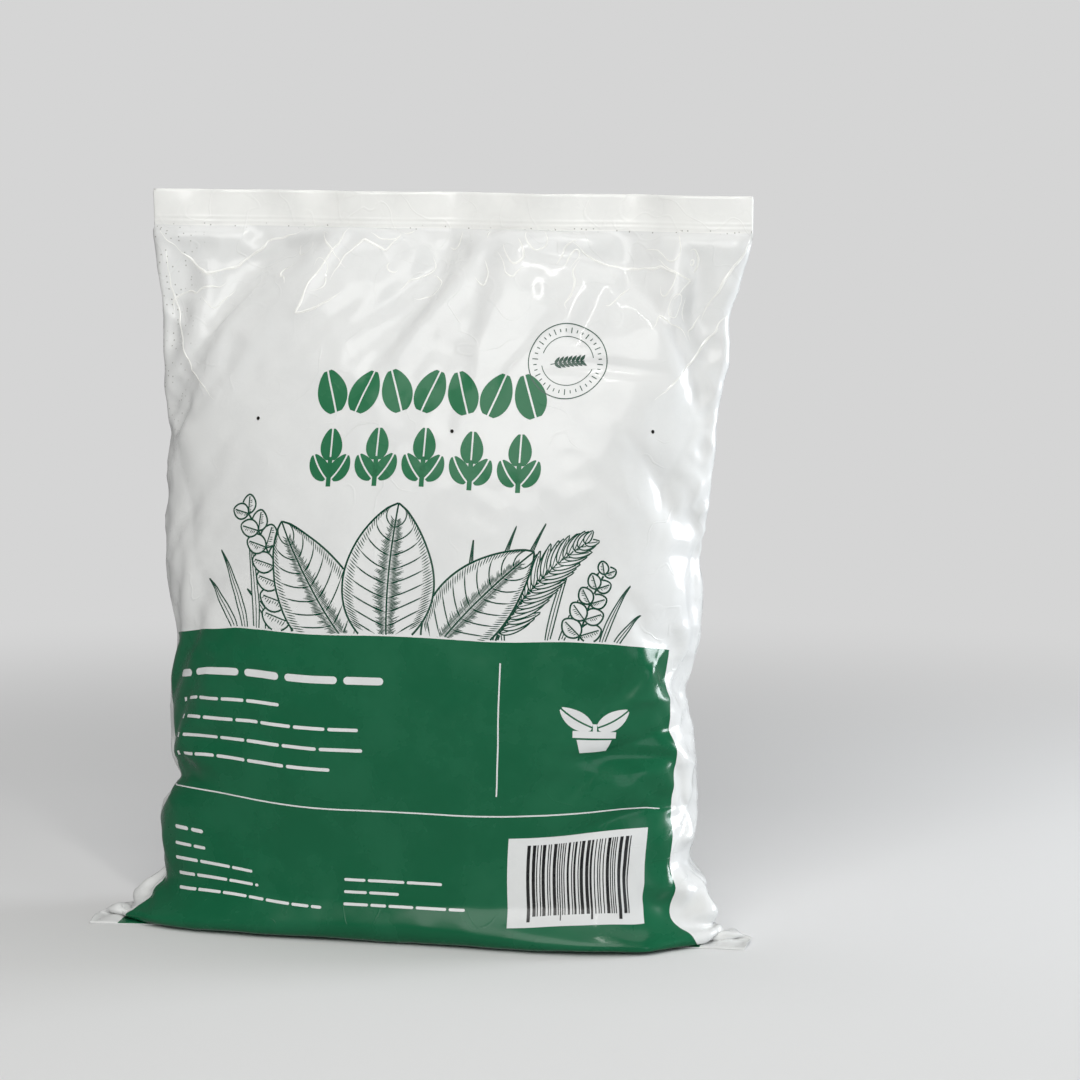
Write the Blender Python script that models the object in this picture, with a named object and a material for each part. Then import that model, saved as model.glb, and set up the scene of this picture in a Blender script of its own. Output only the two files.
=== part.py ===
"""Compost bag: a filled and heat-sealed pillow pack of plastic film, standing on its base.

The bag is one sealed piece. It is lofted through closed rings of the film tube, from the bottom
seal, which is folded forward under the base, to the welded band at the top. Every ring keeps the
length of the lay-flat tube, less the film that is gathered in small folds, so the width of the
bag at each level follows from its depth there. Metres, +Z up, front towards -Y. The origin is
the middle of the base.
"""

import math
from typing import NamedTuple

import bmesh
import bpy
from mathutils import Vector

# The lay-flat film tube and its end seals
FLAT_WIDTH = 0.350
SEAL_BAND = 0.019
SEAL_THICKNESS = 0.0006

# The filled bag
STANDING_HEIGHT = 0.385
FILL_DEPTH = 0.130
BASE_DEPTH = 0.108
BASE_ROUNDING = 0.018
BASE_PRESS = 0.004
SEAM_SETBACK = 0.033
TOP_SHIFT = 0.0105
TOP_LEAN = 0.006

# The ears, where the ends of the bottom seal stand out past the body
EAR_HEIGHT = 0.034
EAR_SWEEP = 0.002
EAR_TWIST = 0.010
EAR_TIP_LIFT = 0.003
FIN_CLEARANCE = 0.0004
FLOOR_HOLD = 0.45

# Waves of the welded band and the puckers that run down from it
BAND_WAVE = 0.0030
BAND_WAVELENGTH = 0.094
BAND_WAVE_REACH = 0.045
BAND_WAVE_PHASE = 0.9
PUCKER_DEPTH = 0.0016
PUCKER_PITCH = 0.031
PUCKER_REACH = 0.030
PUCKER_OPENING = 0.012

# Vent holes, punched through the front film in one row
VENT_RADIUS = 0.0011
VENT_DEPTH = 0.0012
VENT_DROP = 0.095
VENT_SIDE_INSET = 0.018
VENT_PITCH = 0.1035
VENT_COUNT = 3

# The printed panel of the front, with a plain margin of film at each side
PANEL_HEIGHT = 0.159
PANEL_MARGIN = 0.0235

# Mesh fineness
QUADRANT_POINTS = 22
RINGS_PER_STATION = 4
FIN_STEPS = 2
BAND_STEPS = 2
TRACE_STEPS = 96
WIDTH_TRIALS = 24
SMOOTH_ANGLE = math.radians(50)

# Colour and roughness of the bare and the printed film
WHITE_FILM = ((0.80, 0.81, 0.80, 1.0), 0.28)
GREEN_PRINT = ((0.012, 0.141, 0.055, 1.0), 0.25)

SEAL_LINE = STANDING_HEIGHT - SEAL_BAND
HALF_FILL = FILL_DEPTH / 2
HALF_BASE = BASE_DEPTH / 2
SEAM_Y = SEAM_SETBACK - HALF_BASE
FIN_TOP = SEAL_THICKNESS + FIN_CLEARANCE
LEFT, RIGHT = -1, 1
FRONT, BACK = -1, 1


class SideFold(NamedTuple):
    """A fold that draws one side of the bag inwards."""

    side: int
    height: float
    depth: float
    half_height: float


SIDE_FOLDS = (
    SideFold(LEFT, 0.072, 0.0060, 0.009),
    SideFold(LEFT, 0.148, 0.0045, 0.013),
    SideFold(RIGHT, 0.041, 0.0050, 0.009),
    SideFold(RIGHT, 0.128, 0.0075, 0.014),
    SideFold(RIGHT, 0.206, 0.0035, 0.014),
)
FOLD_REACH = 0.032


class Dent(NamedTuple):
    """A long shallow dent in the front film: its middle, depth, half length, half width and slope."""

    x: float
    z: float
    depth: float
    half_length: float
    half_width: float
    slope: float


FRONT_DENTS = (
    Dent(0.109, 0.131, 0.0030, 0.020, 0.008, math.radians(48)),
    Dent(0.104, 0.096, 0.0030, 0.026, 0.008, math.radians(27)),
    Dent(0.103, 0.063, 0.0028, 0.026, 0.007, math.radians(13)),
    Dent(-0.128, 0.076, 0.0030, 0.018, 0.008, math.radians(-12)),
    Dent(-0.118, 0.262, 0.0024, 0.030, 0.009, math.radians(-58)),
    Dent(0.122, 0.224, 0.0026, 0.034, 0.010, math.radians(62)),
)


class Station(NamedTuple):
    """A ring that shapes the body: its front, back and side points, and how square its corners are."""

    front_y: float
    front_z: float
    back_y: float
    back_z: float
    side_y: float
    side_z: float
    front_fullness: float
    back_fullness: float
    gathered: float


def base_stations():
    """The bottom seal, and the film that turns out from it over the floor and into the ears."""
    tip_y = SEAM_Y - EAR_SWEEP
    fold = BASE_ROUNDING
    ear = EAR_HEIGHT
    return [
        Station(SEAM_Y, FIN_TOP, SEAM_Y, 0.0, tip_y, EAR_TIP_LIFT, 1.0, 1.0, 0.010),
        Station(0.45 * fold - HALF_BASE, FIN_TOP, SEAM_Y + 1.2 * SEAL_BAND, -BASE_PRESS,
                tip_y + 0.003, 0.30 * ear, 2.3, 1.6, 0.014),
        Station(-HALF_BASE, 0.35 * fold, 0.45 * HALF_BASE, -BASE_PRESS,
                tip_y + 0.007, 0.55 * ear, 3.2, 2.1, 0.022),
        Station(-HALF_BASE - 0.004, 1.1 * fold, HALF_BASE - 0.8 * fold, -BASE_PRESS,
                0.55 * tip_y, 0.95 * ear, 3.1, 2.4, 0.020),
    ]


def body_stations():
    """The filled body, which is fullest low down and thins towards the top seal."""
    half, base, height, lean = HALF_FILL, HALF_BASE, SEAL_LINE, TOP_LEAN
    return [
        Station(-0.97 * half, 0.135 * height, 0.96 * base, 0.55 * BASE_ROUNDING,
                0.25 * (SEAM_Y - EAR_SWEEP), 0.145 * height, 2.70, 2.40, 0.010),
        Station(-half, 0.235 * height, 0.97 * half, 0.150 * height, 0.0, 0.220 * height, 2.45, 2.35, 0.012),
        Station(-0.99 * half, 0.360 * height, half, 0.320 * height, 0.0, 0.345 * height, 2.35, 2.30, 0.016),
        Station(-0.95 * half, 0.490 * height, 0.97 * half, 0.470 * height,
                0.2 * lean, 0.480 * height, 2.25, 2.25, 0.022),
        Station(-0.86 * half, 0.625 * height, 0.89 * half, 0.615 * height,
                0.4 * lean, 0.620 * height, 2.20, 2.20, 0.030),
        Station(-0.70 * half, 0.755 * height, 0.75 * half, 0.750 * height,
                0.5 * lean, 0.750 * height, 2.10, 2.10, 0.043),
        Station(-0.47 * half, 0.870 * height, 0.55 * half, 0.868 * height,
                0.7 * lean, 0.866 * height, 2.00, 2.00, 0.056),
        Station(-0.20 * half, 0.950 * height, 0.29 * half, 0.950 * height,
                0.8 * lean, 0.948 * height, 1.90, 1.90, 0.066),
        Station(lean - SEAL_THICKNESS / 2, height, lean + SEAL_THICKNESS / 2, height,
                lean, height, 1.00, 1.00, 0.070),
    ]


STATIONS = base_stations() + body_stations()
COLUMNS = tuple(zip(*STATIONS))
LAST_STATION = len(STATIONS) - 1


def spline(values, t):
    """A value at t along evenly spaced values, on a Catmull-Rom curve."""
    last = len(values) - 1
    k = min(int(t), last - 1)
    f = t - k
    a, b, c, d = (values[min(max(i, 0), last)] for i in (k - 1, k, k + 1, k + 2))
    return 0.5 * (2 * b + (c - a) * f + (2 * a - 5 * b + 4 * c - d) * f**2 + (3 * b - a - 3 * c + d) * f**3)


def quadrant(middle, side, half_width, fullness):
    """Points from the middle of a face (front or back) to the side, evenly spaced along the film.

    Film that lies on the floor stays down until close to the side, which is what FLOOR_HOLD gives.
    """
    traced = []
    for i in range(TRACE_STEPS + 1):
        angle = 0.5 * math.pi * i / TRACE_STEPS
        cosine = max(math.cos(angle), 0.0)
        across = math.sin(angle) ** (2 / fullness)
        toward = cosine ** (2 / fullness)
        fall = cosine**FLOOR_HOLD if middle[1] < side[1] else toward
        traced.append(Vector((
            half_width * across,
            side[0] + (middle[0] - side[0]) * toward,
            side[1] + (middle[1] - side[1]) * fall,
        )))
    lengths = [0.0]
    for a, b in zip(traced, traced[1:]):
        lengths.append(lengths[-1] + (b - a).length)
    points = []
    k = 0
    for i in range(QUADRANT_POINTS + 1):
        wanted = lengths[-1] * i / QUADRANT_POINTS
        while k < TRACE_STEPS - 1 and lengths[k + 1] < wanted:
            k += 1
        share = (wanted - lengths[k]) / (lengths[k + 1] - lengths[k])
        points.append(traced[k].lerp(traced[k + 1], share))
    return points, lengths[-1]


def ring(t):
    """The front and back quadrants of the ring at t, as wide as the film allows, for the right half."""
    at = Station(*(spline(column, t) for column in COLUMNS))
    film = FLAT_WIDTH * (1 - at.gathered)
    narrow, wide = 0.25 * FLAT_WIDTH, 0.5 * FLAT_WIDTH
    for _ in range(WIDTH_TRIALS):
        half_width = (narrow + wide) / 2
        side = (at.side_y, at.side_z)
        front, front_length = quadrant((at.front_y, at.front_z), side, half_width, at.front_fullness)
        back, back_length = quadrant((at.back_y, at.back_z), side, half_width, at.back_fullness)
        if front_length + back_length > film:
            wide = half_width
        else:
            narrow = half_width
    return front, back


def side_draw(side, point):
    """How far the folds in this side draw the point inwards."""
    near_side = math.exp(-((point.y / FOLD_REACH) ** 2))
    return near_side * sum(
        fold.depth * math.exp(-(((point.z - fold.height) / fold.half_height) ** 2))
        for fold in SIDE_FOLDS
        if fold.side == side
    )


def ear_twist(side, z):
    """How far the ears are turned about the bag's axis, the left one forward and the right one back."""
    return side * EAR_TWIST * max(0.0, 1 - z / EAR_HEIGHT) ** 2


def dented(x, z):
    """How far the dents push this point of the front film back."""
    push = 0.0
    for dent in FRONT_DENTS:
        along = (x - dent.x) * math.cos(dent.slope) + (z - dent.z) * math.sin(dent.slope)
        across = (z - dent.z) * math.cos(dent.slope) - (x - dent.x) * math.sin(dent.slope)
        push += dent.depth * math.exp(-((along / dent.half_length) ** 2) - (across / dent.half_width) ** 2)
    return push


def top_wave(x, z):
    """The wave of the welded band, which fades down the bag."""
    below = max(SEAL_LINE - z, 0.0)
    return BAND_WAVE * math.sin(2 * math.pi * x / BAND_WAVELENGTH + BAND_WAVE_PHASE) * math.exp(-below / BAND_WAVE_REACH)


def pucker(x, z, opening):
    """A pucker below the seal line, outwards, which dies away where front and back meet."""
    below = max(SEAL_LINE - z, 0.0) / PUCKER_REACH
    phase = 2 * math.pi * x / PUCKER_PITCH + 1.7 * math.sin(x / 0.043)
    return PUCKER_DEPTH * below * math.exp(1 - below) * math.sin(phase) * min(1.0, opening / PUCKER_OPENING)


def placed(point, side, face, opening):
    """A ring point in its place in the bag, on its left or right side and its front or back face."""
    z = max(point.z, 0.0)
    x = side * (point.x - side_draw(side, point)) + TOP_SHIFT * min(z / SEAL_LINE, 1.0) ** 2
    y = point.y + top_wave(x, z) + face * pucker(x, z, opening)
    y += ear_twist(side, z) * min(1.0, (point.x / (0.5 * FLAT_WIDTH)) ** 2)
    if face == FRONT:
        y += dented(x, z) * min(1.0, opening / FILL_DEPTH)
    return Vector((x, y, z))


def body_loop(t):
    """The closed loop at t: from the left side along the front to the right side, and back behind."""
    front, back = ring(t)
    openings = [abs(f.y - b.y) for f, b in zip(front, back)]
    in_front = list(zip(front, openings))
    behind = list(zip(back, openings))
    points = [placed(p, LEFT, FRONT, o) for p, o in reversed(in_front)]
    points += [placed(p, RIGHT, FRONT, o) for p, o in in_front[1:]]
    points += [placed(p, RIGHT, BACK, o) for p, o in reversed(behind[:-1])]
    points += [placed(p, LEFT, BACK, o) for p, o in behind[1:-1]]
    return points


def fin_loops(seam):
    """The welded band of the bottom seal, folded forward flat under the base, from its free edge."""
    half_loop = 2 * QUADRANT_POINTS
    loops = []
    for step in range(FIN_STEPS):
        share = (FIN_STEPS - step) / FIN_STEPS
        points = []
        for i, p in enumerate(seam):
            below = seam[i if i == 0 or i >= half_loop else 2 * half_loop - i]
            rise = 0.5 if i in (0, half_loop) else float(i < half_loop)
            z = below.z * (1 - share) + SEAL_THICKNESS * rise
            points.append(Vector((p.x, p.y - SEAL_BAND * share, z)))
        loops.append(points)
    return loops


def band_loops(seal):
    """The welded band above the top seal line, two layers of film thick."""
    return [[p + Vector((0, 0, SEAL_BAND * step / BAND_STEPS)) for p in seal] for step in range(1, BAND_STEPS + 1)]


def centred(loops):
    """The loops moved so that the middle of the bag's width and depth is at the origin."""
    xs = [p.x for points in loops for p in points]
    ys = [p.y for points in loops for p in points]
    middle = Vector(((min(xs) + max(xs)) / 2, (min(ys) + max(ys)) / 2, 0))
    return [[p - middle for p in points] for points in loops]


def film_material(name, finish):
    """A film finish, as a material."""
    colour, roughness = finish
    material = bpy.data.materials.new(name)
    material.use_nodes = True
    shader = material.node_tree.nodes["Principled BSDF"]
    shader.inputs["Base Color"].default_value = colour
    shader.inputs["Roughness"].default_value = roughness
    shader.inputs["Metallic"].default_value = 0.0
    return material


def end_cap(mesh, row, up):
    """Closes the free edge of a welded band with a strip between its front and back points."""
    half_loop = len(row) // 2
    for i in range(half_loop):
        corners = [row[i], row[i + 1], row[(2 * half_loop - i - 1) % len(row)], row[-i]]
        distinct = list(dict.fromkeys(corners if up else reversed(corners)))
        mesh.faces.new(distinct)


def skin(name, loops):
    """A closed solid through the loops, with the printed panel in the second material."""
    mesh = bmesh.new()
    rows = [[mesh.verts.new(p) for p in points] for points in loops]
    margin = round(PANEL_MARGIN / FLAT_WIDTH * 2 * QUADRANT_POINTS)
    for lower, upper in zip(rows, rows[1:]):
        for i in range(len(lower)):
            j = (i + 1) % len(lower)
            face = mesh.faces.new((lower[i], lower[j], upper[j], upper[i]))
            below_edge = upper[QUADRANT_POINTS].co.z <= PANEL_HEIGHT
            face.material_index = int(below_edge and margin <= i < 2 * QUADRANT_POINTS - margin)
    end_cap(mesh, rows[0], up=False)
    end_cap(mesh, rows[-1], up=True)
    bmesh.ops.triangulate(mesh, faces=mesh.faces[:])
    bmesh.ops.recalc_face_normals(mesh, faces=mesh.faces[:])
    data = bpy.data.meshes.new(name)
    mesh.to_mesh(data)
    mesh.free()
    data.shade_smooth()
    data.set_sharp_from_angle(angle=SMOOTH_ANGLE)
    obj = bpy.data.objects.new(name, data)
    bpy.context.scene.collection.objects.link(obj)
    return obj


def punch_vent_holes(bag):
    """Cuts the row of vent holes, counted from the right side of the bag and each square to the film."""
    z = SEAL_LINE - VENT_DROP
    _, right_side, _, _ = bag.ray_cast(Vector((FLAT_WIDTH, 0, z)), Vector((-1, 0, 0)))
    for i in range(VENT_COUNT):
        x = right_side.x - VENT_SIDE_INSET - i * VENT_PITCH
        _, place, normal, _ = bag.ray_cast(Vector((x, -FILL_DEPTH, z)), Vector((0, 1, 0)))
        bpy.ops.mesh.primitive_cylinder_add(
            vertices=16, radius=VENT_RADIUS, depth=2 * VENT_DEPTH, location=place,
            rotation=normal.to_track_quat("Z", "Y").to_euler())
        cutter = bpy.context.object
        cutter.name = f"vent_cutter_{i + 1}"
        cutter.hide_render = True
        cutter.display_type = "WIRE"
        cut = bag.modifiers.new(f"vent_{i + 1}", "BOOLEAN")
        cut.operation = "DIFFERENCE"
        cut.object = cutter


def main():
    for obj in list(bpy.data.objects):
        bpy.data.objects.remove(obj)
    steps = LAST_STATION * RINGS_PER_STATION
    body = [body_loop(LAST_STATION * i / steps) for i in range(steps + 1)]
    bag = skin("filled_bag", centred(fin_loops(body[0]) + body + band_loops(body[-1])))
    bag.data.materials.append(film_material("white_film", WHITE_FILM))
    bag.data.materials.append(film_material("green_print", GREEN_PRINT))
    bpy.context.view_layer.update()
    punch_vent_holes(bag)


main()
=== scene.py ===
"""The looks of the compost bag: a filled pillow pack of printed film, welded shut at both ends.

A cloth simulation draws the flat film onto the form of the filled bag, and its slack goes into real folds.
The welds, the print and the vent holes are then made on the simulated film. Metres, +Z up, front towards -Y.
Film coordinates are flat: u runs across from the middle of the front, and v runs up from the bottom seam.
"""

import logging
import math
import random
from dataclasses import astuple, dataclass, field
from enum import Enum

import bpy
import numpy as np
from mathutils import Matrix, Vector, noise


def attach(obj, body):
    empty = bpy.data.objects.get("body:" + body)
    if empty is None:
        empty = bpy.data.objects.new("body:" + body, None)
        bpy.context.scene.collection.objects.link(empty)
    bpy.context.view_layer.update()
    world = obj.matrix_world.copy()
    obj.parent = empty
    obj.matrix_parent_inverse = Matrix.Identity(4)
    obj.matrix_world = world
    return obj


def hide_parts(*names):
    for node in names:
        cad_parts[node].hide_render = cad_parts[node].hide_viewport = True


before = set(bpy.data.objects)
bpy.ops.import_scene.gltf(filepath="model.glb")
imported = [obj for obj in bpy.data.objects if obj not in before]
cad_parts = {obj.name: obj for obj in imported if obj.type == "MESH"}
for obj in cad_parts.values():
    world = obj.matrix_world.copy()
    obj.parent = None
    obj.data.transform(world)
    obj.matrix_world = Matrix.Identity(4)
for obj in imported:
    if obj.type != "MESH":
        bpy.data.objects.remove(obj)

LOG = logging.getLogger("compost_bag")
BODY = "root"
BAG_NODE = "filled_bag"
UV_NAME = "film"
MM = 0.001
VIEW_AZIMUTH = 13.6
VIEW_PITCH = 7.66
TINY = 1e-12
Points = np.ndarray
Span = tuple[float, float]
Pairs = tuple[Span, ...]
Tint = tuple[float, float, float]
Socket = bpy.types.NodeSocket
Finishes = dict[str, bpy.types.Material]


class Side(Enum):
    """A side of the bag, seen from the front."""

    LEFT = -1
    RIGHT = 1


class Slot(Enum):
    """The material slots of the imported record."""

    WHITE_FILM = "white_film"
    GREEN_PRINT = "green_print"


class Ink(Enum):
    """The inks of the print."""

    GREEN = "green_ink"
    DARK = "dark_ink"
    WHITE = "white_ink"
    BLACK = "black_ink"

    @property
    def slot(self) -> Slot:
        """The record's slot that the ink belongs to."""
        return Slot.WHITE_FILM if self is Ink.WHITE else Slot.GREEN_PRINT


@dataclass(frozen=True)
class Station:
    """A ring that shapes the body: its front, back and side points, and the form of its curve."""

    front_y: float
    front_z: float
    back_y: float
    back_z: float
    side_y: float
    side_z: float
    front_fullness: float
    back_fullness: float
    gathered: float


@dataclass(frozen=True)
class SideFold:
    """A fold that draws one side of the bag inwards."""

    side: Side
    height: float
    depth: float
    half_height: float


@dataclass(frozen=True)
class Dent:
    """A long shallow dent in the front film."""

    x: float
    z: float
    depth: float
    half_length: float
    half_width: float
    slope: float

    def push(self, x: Points, z: Points) -> Points:
        """How far the dent pushes the front film back.

        Args:
            x: Places across the bag.
            z: Heights.

        Returns:
            The push at each place, in metres.
        """
        slope = math.radians(self.slope)
        along = (x - self.x) * math.cos(slope) + (z - self.z) * math.sin(slope)
        across = (z - self.z) * math.cos(slope) - (x - self.x) * math.sin(slope)
        return self.depth * np.exp(-((along / self.half_length) ** 2) - (across / self.half_width) ** 2)


@dataclass(frozen=True)
class BagForm:
    """The form that the compost gives the film, lofted through closed rings of the tube.

    Every ring keeps the length of the lay-flat tube, less the film that is gathered in small folds.
    """

    flat_width: float = 0.350
    seal_band: float = 0.019
    weld_thickness: float = 0.0006
    standing_height: float = 0.385
    fill_depth: float = 0.130
    base_depth: float = 0.122
    base_rounding: float = 0.011
    base_press: float = 0.004
    seam_setback: float = 0.040
    fin_clearance: float = 0.0004
    top_shift: float = 0.0105
    top_lean: float = 0.006
    ear_height: float = 0.031
    ear_sweep: float = 0.002
    ear_twist: float = 0.010
    ear_tip_lift: float = 0.003
    floor_hold: float = 0.45
    band_wave: float = 0.0030
    band_wavelength: float = 0.094
    band_wave_reach: float = 0.045
    band_wave_phase: float = 0.9
    fold_reach: float = 0.032
    trace_steps: int = 96
    width_trials: int = 24
    side_folds: tuple[SideFold, ...] = (
        SideFold(Side.LEFT, 0.072, 0.0070, 0.009),
        SideFold(Side.LEFT, 0.148, 0.0045, 0.013),
        SideFold(Side.RIGHT, 0.041, 0.0055, 0.009),
        SideFold(Side.RIGHT, 0.128, 0.0085, 0.013),
        SideFold(Side.RIGHT, 0.206, 0.0035, 0.014),
    )
    front_dents: tuple[Dent, ...] = (
        Dent(0.109, 0.131, 0.0030, 0.020, 0.008, 48),
        Dent(0.104, 0.096, 0.0030, 0.026, 0.008, 27),
        Dent(0.103, 0.063, 0.0028, 0.026, 0.007, 13),
        Dent(-0.128, 0.076, 0.0030, 0.018, 0.008, -12),
        Dent(-0.118, 0.262, 0.0024, 0.030, 0.009, -58),
        Dent(0.122, 0.224, 0.0026, 0.034, 0.010, 62),
    )

    @property
    def seal_line(self) -> float:
        """The height of the top seal line."""
        return self.standing_height - self.seal_band

    @property
    def seam_y(self) -> float:
        """The place of the bottom seam, front to back."""
        return self.seam_setback - self.base_depth / 2

    def stations(self) -> Points:
        """The stations from the bottom seam to the top seal line, one row of numbers each."""
        half, base, height, lean = self.fill_depth / 2, self.base_depth / 2, self.seal_line, self.top_lean
        fold, ear, press, seam = self.base_rounding, self.ear_height, self.base_press, self.seam_y
        tip = seam - self.ear_sweep
        fin_top = self.weld_thickness + self.fin_clearance
        thin = self.weld_thickness / 2
        rows = [
            Station(seam, fin_top, seam, 0.0, tip, self.ear_tip_lift, 1.0, 1.0, -0.004),
            Station(0.45 * fold - base, fin_top, seam + 1.2 * self.seal_band, -press,
                    tip + 0.003, 0.30 * ear, 2.3, 1.6, 0.014),
            Station(-base, 0.35 * fold, 0.45 * base, -press, tip + 0.007, 0.55 * ear, 3.2, 2.1, 0.022),
            Station(-base - 0.004, 1.1 * fold, base - 0.8 * fold, -press,
                    0.55 * tip, 0.95 * ear, 3.1, 2.4, 0.020),
            Station(-0.97 * half, 0.135 * height, 0.96 * base, 0.55 * fold,
                    0.25 * tip, 0.145 * height, 2.7, 2.4, 0.010),
            Station(-half, 0.235 * height, 0.97 * half, 0.150 * height,
                    0.0, 0.220 * height, 2.45, 2.35, 0.012),
            Station(-0.99 * half, 0.360 * height, half, 0.320 * height,
                    0.0, 0.345 * height, 2.35, 2.30, 0.016),
            Station(-0.95 * half, 0.490 * height, 0.97 * half, 0.470 * height,
                    0.2 * lean, 0.480 * height, 2.25, 2.25, 0.022),
            Station(-0.86 * half, 0.625 * height, 0.89 * half, 0.615 * height,
                    0.4 * lean, 0.620 * height, 2.20, 2.20, 0.030),
            Station(-0.70 * half, 0.755 * height, 0.75 * half, 0.750 * height,
                    0.5 * lean, 0.750 * height, 2.10, 2.10, 0.043),
            Station(-0.47 * half, 0.870 * height, 0.55 * half, 0.868 * height,
                    0.7 * lean, 0.866 * height, 2.00, 2.00, 0.056),
            Station(-0.20 * half, 0.950 * height, 0.29 * half, 0.950 * height,
                    0.8 * lean, 0.948 * height, 1.90, 1.90, 0.066),
            Station(lean - thin, height, lean + thin, height, lean, height, 1.00, 1.00, 0.070),
        ]
        return np.array([astuple(row) for row in rows])

    def station_at(self, t: float) -> Station:
        """The station at t, on a Catmull-Rom curve through the given ones.

        Args:
            t: The place along the stations, from 0 to the number of the last.

        Returns:
            The station there.
        """
        rows = self.stations()
        last = len(rows) - 1
        k = min(int(t), last - 1)
        f = t - k
        a, b, c, d = (rows[min(max(i, 0), last)] for i in (k - 1, k, k + 1, k + 2))
        square, cube = 2 * a - 5 * b + 4 * c - d, 3 * b - a - 3 * c + d
        return Station(*(0.5 * (2 * b + (c - a) * f + square * f**2 + cube * f**3)))

    def quadrant(self, middle: Span, side: Span,
                 half_width: float, fullness: float, count: int) -> tuple[Points, float]:
        """Points from the middle of a face to the side, evenly spaced along the film.

        Args:
            middle: The y and z of the face's middle.
            side: The y and z of the side.
            half_width: Half the width of the ring.
            fullness: How square the ring is: 2 is round.
            count: The number of steps to the side.

        Returns:
            The points, and the length of film in them.
        """
        angle = np.linspace(0, math.pi / 2, self.trace_steps + 1)
        cosine = np.clip(np.cos(angle), 0, None)
        across = np.sin(angle) ** (2 / fullness)
        toward = cosine ** (2 / fullness)
        fall = cosine**self.floor_hold if middle[1] < side[1] else toward
        traced = np.stack([
            half_width * across,
            side[0] + (middle[0] - side[0]) * toward,
            side[1] + (middle[1] - side[1]) * fall,
        ], axis=1)
        lengths = path_lengths(traced)
        wanted = lengths[-1] * np.arange(count + 1) / count
        return np.stack([np.interp(wanted, lengths, traced[:, k]) for k in range(3)], axis=1), lengths[-1]

    def ring(self, t: float, count: int) -> tuple[Points, Points]:
        """The front and back quadrants of the ring at t, as wide as the film allows.

        Args:
            t: The place along the stations.
            count: The number of steps in a quadrant.

        Returns:
            The front and the back quadrant of the right half.
        """
        at = self.station_at(t)
        film = self.flat_width * (1 - at.gathered)
        narrow, wide = 0.25 * self.flat_width, 0.5 * self.flat_width
        side = (at.side_y, at.side_z)
        in_front, behind = (at.front_y, at.front_z), (at.back_y, at.back_z)
        for _ in range(self.width_trials):
            half_width = (narrow + wide) / 2
            front, front_length = self.quadrant(in_front, side, half_width, at.front_fullness, count)
            back, back_length = self.quadrant(behind, side, half_width, at.back_fullness, count)
            if front_length + back_length > film:
                wide = half_width
            else:
                narrow = half_width
        return front, back

    def placed(self, points: Points, side: Side, is_front: bool, opening: Points) -> Points:
        """Ring points in their place in the bag.

        Args:
            points: Points of a quadrant of the right half.
            side: The side that they belong to.
            is_front: Whether they are on the front face.
            opening: The distance between front and back at each point.

        Returns:
            The placed points.
        """
        z = np.clip(points[:, 2], 0, None)
        near_side = np.exp(-((points[:, 1] / self.fold_reach) ** 2))
        drawn = sum(
            near_side * fold.depth * np.exp(-(((points[:, 2] - fold.height) / fold.half_height) ** 2))
            for fold in self.side_folds
            if fold.side is side
        )
        x = side.value * (points[:, 0] - drawn) + self.top_shift * np.minimum(z / self.seal_line, 1) ** 2
        below = np.clip(self.seal_line - z, 0, None)
        wave = np.sin(2 * math.pi * x / self.band_wavelength + self.band_wave_phase)
        y = points[:, 1] + self.band_wave * wave * np.exp(-below / self.band_wave_reach)
        twist = side.value * self.ear_twist * np.clip(1 - z / self.ear_height, 0, None) ** 2
        y = y + twist * np.minimum(1, (points[:, 0] / (0.5 * self.flat_width)) ** 2)
        if is_front:
            dents = sum(dent.push(x, z) for dent in self.front_dents)
            y = y + dents * np.minimum(1, opening / self.fill_depth)
        return np.stack([x, y, z], axis=1)

    def loop(self, t: float, count: int) -> Points:
        """The closed loop at t: from the left side along the front to the right side, and back behind.

        Args:
            t: The place along the stations.
            count: The number of steps in a quadrant.

        Returns:
            Four times count points.
        """
        front, back = self.ring(t, count)
        opening = np.abs(front[:, 1] - back[:, 1])
        return np.concatenate([
            self.placed(front, Side.LEFT, True, opening)[::-1],
            self.placed(front, Side.RIGHT, True, opening)[1:],
            self.placed(back, Side.RIGHT, False, opening)[:-1][::-1],
            self.placed(back, Side.LEFT, False, opening)[1:-1],
        ])

    def middle(self, loops: Points) -> Points:
        """The middle of the bag's width and depth, with its welds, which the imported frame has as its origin.

        Args:
            loops: The loops of the body from the bottom seam to the top seal line.

        Returns:
            The middle, as a point at floor level.
        """
        fin = loops[0] - np.array([0, self.seal_band, 0])
        every = np.concatenate([loops.reshape(-1, 3), fin])
        low, high = every.min(axis=0), every.max(axis=0)
        return np.array([(low[0] + high[0]) / 2, (low[1] + high[1]) / 2, 0])


def path_lengths(path: Points) -> Points:
    """The length along a path at each of its points."""
    steps = np.linalg.norm(np.diff(path, axis=0), axis=1)
    return np.concatenate([[0.0], np.cumsum(steps)])


def smooth_step(x: Points, low: float, high: float) -> Points:
    """A smooth rise from 0 at low to 1 at high."""
    f = np.clip((x - low) / (high - low), 0, 1)
    return f * f * (3 - 2 * f)


def linked(name: str, data: bpy.types.ID) -> bpy.types.Object:
    """A new object in the scene.

    Args:
        name: Its name.
        data: Its mesh, lamp or camera.

    Returns:
        The object.
    """
    obj = bpy.data.objects.new(name, data)
    bpy.context.scene.collection.objects.link(obj)
    return obj


def square_mesh(name: str, half: float, z: float) -> bpy.types.Mesh:
    """A level square round the origin.

    Args:
        name: The name of the mesh.
        half: Half the length of a side.
        z: Its height.

    Returns:
        The mesh.
    """
    mesh = bpy.data.meshes.new(name)
    corners = [(-half, -half, z), (half, -half, z), (half, half, z), (-half, half, z)]
    mesh.from_pydata(corners, [], [(0, 1, 2, 3)])
    return mesh


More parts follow.
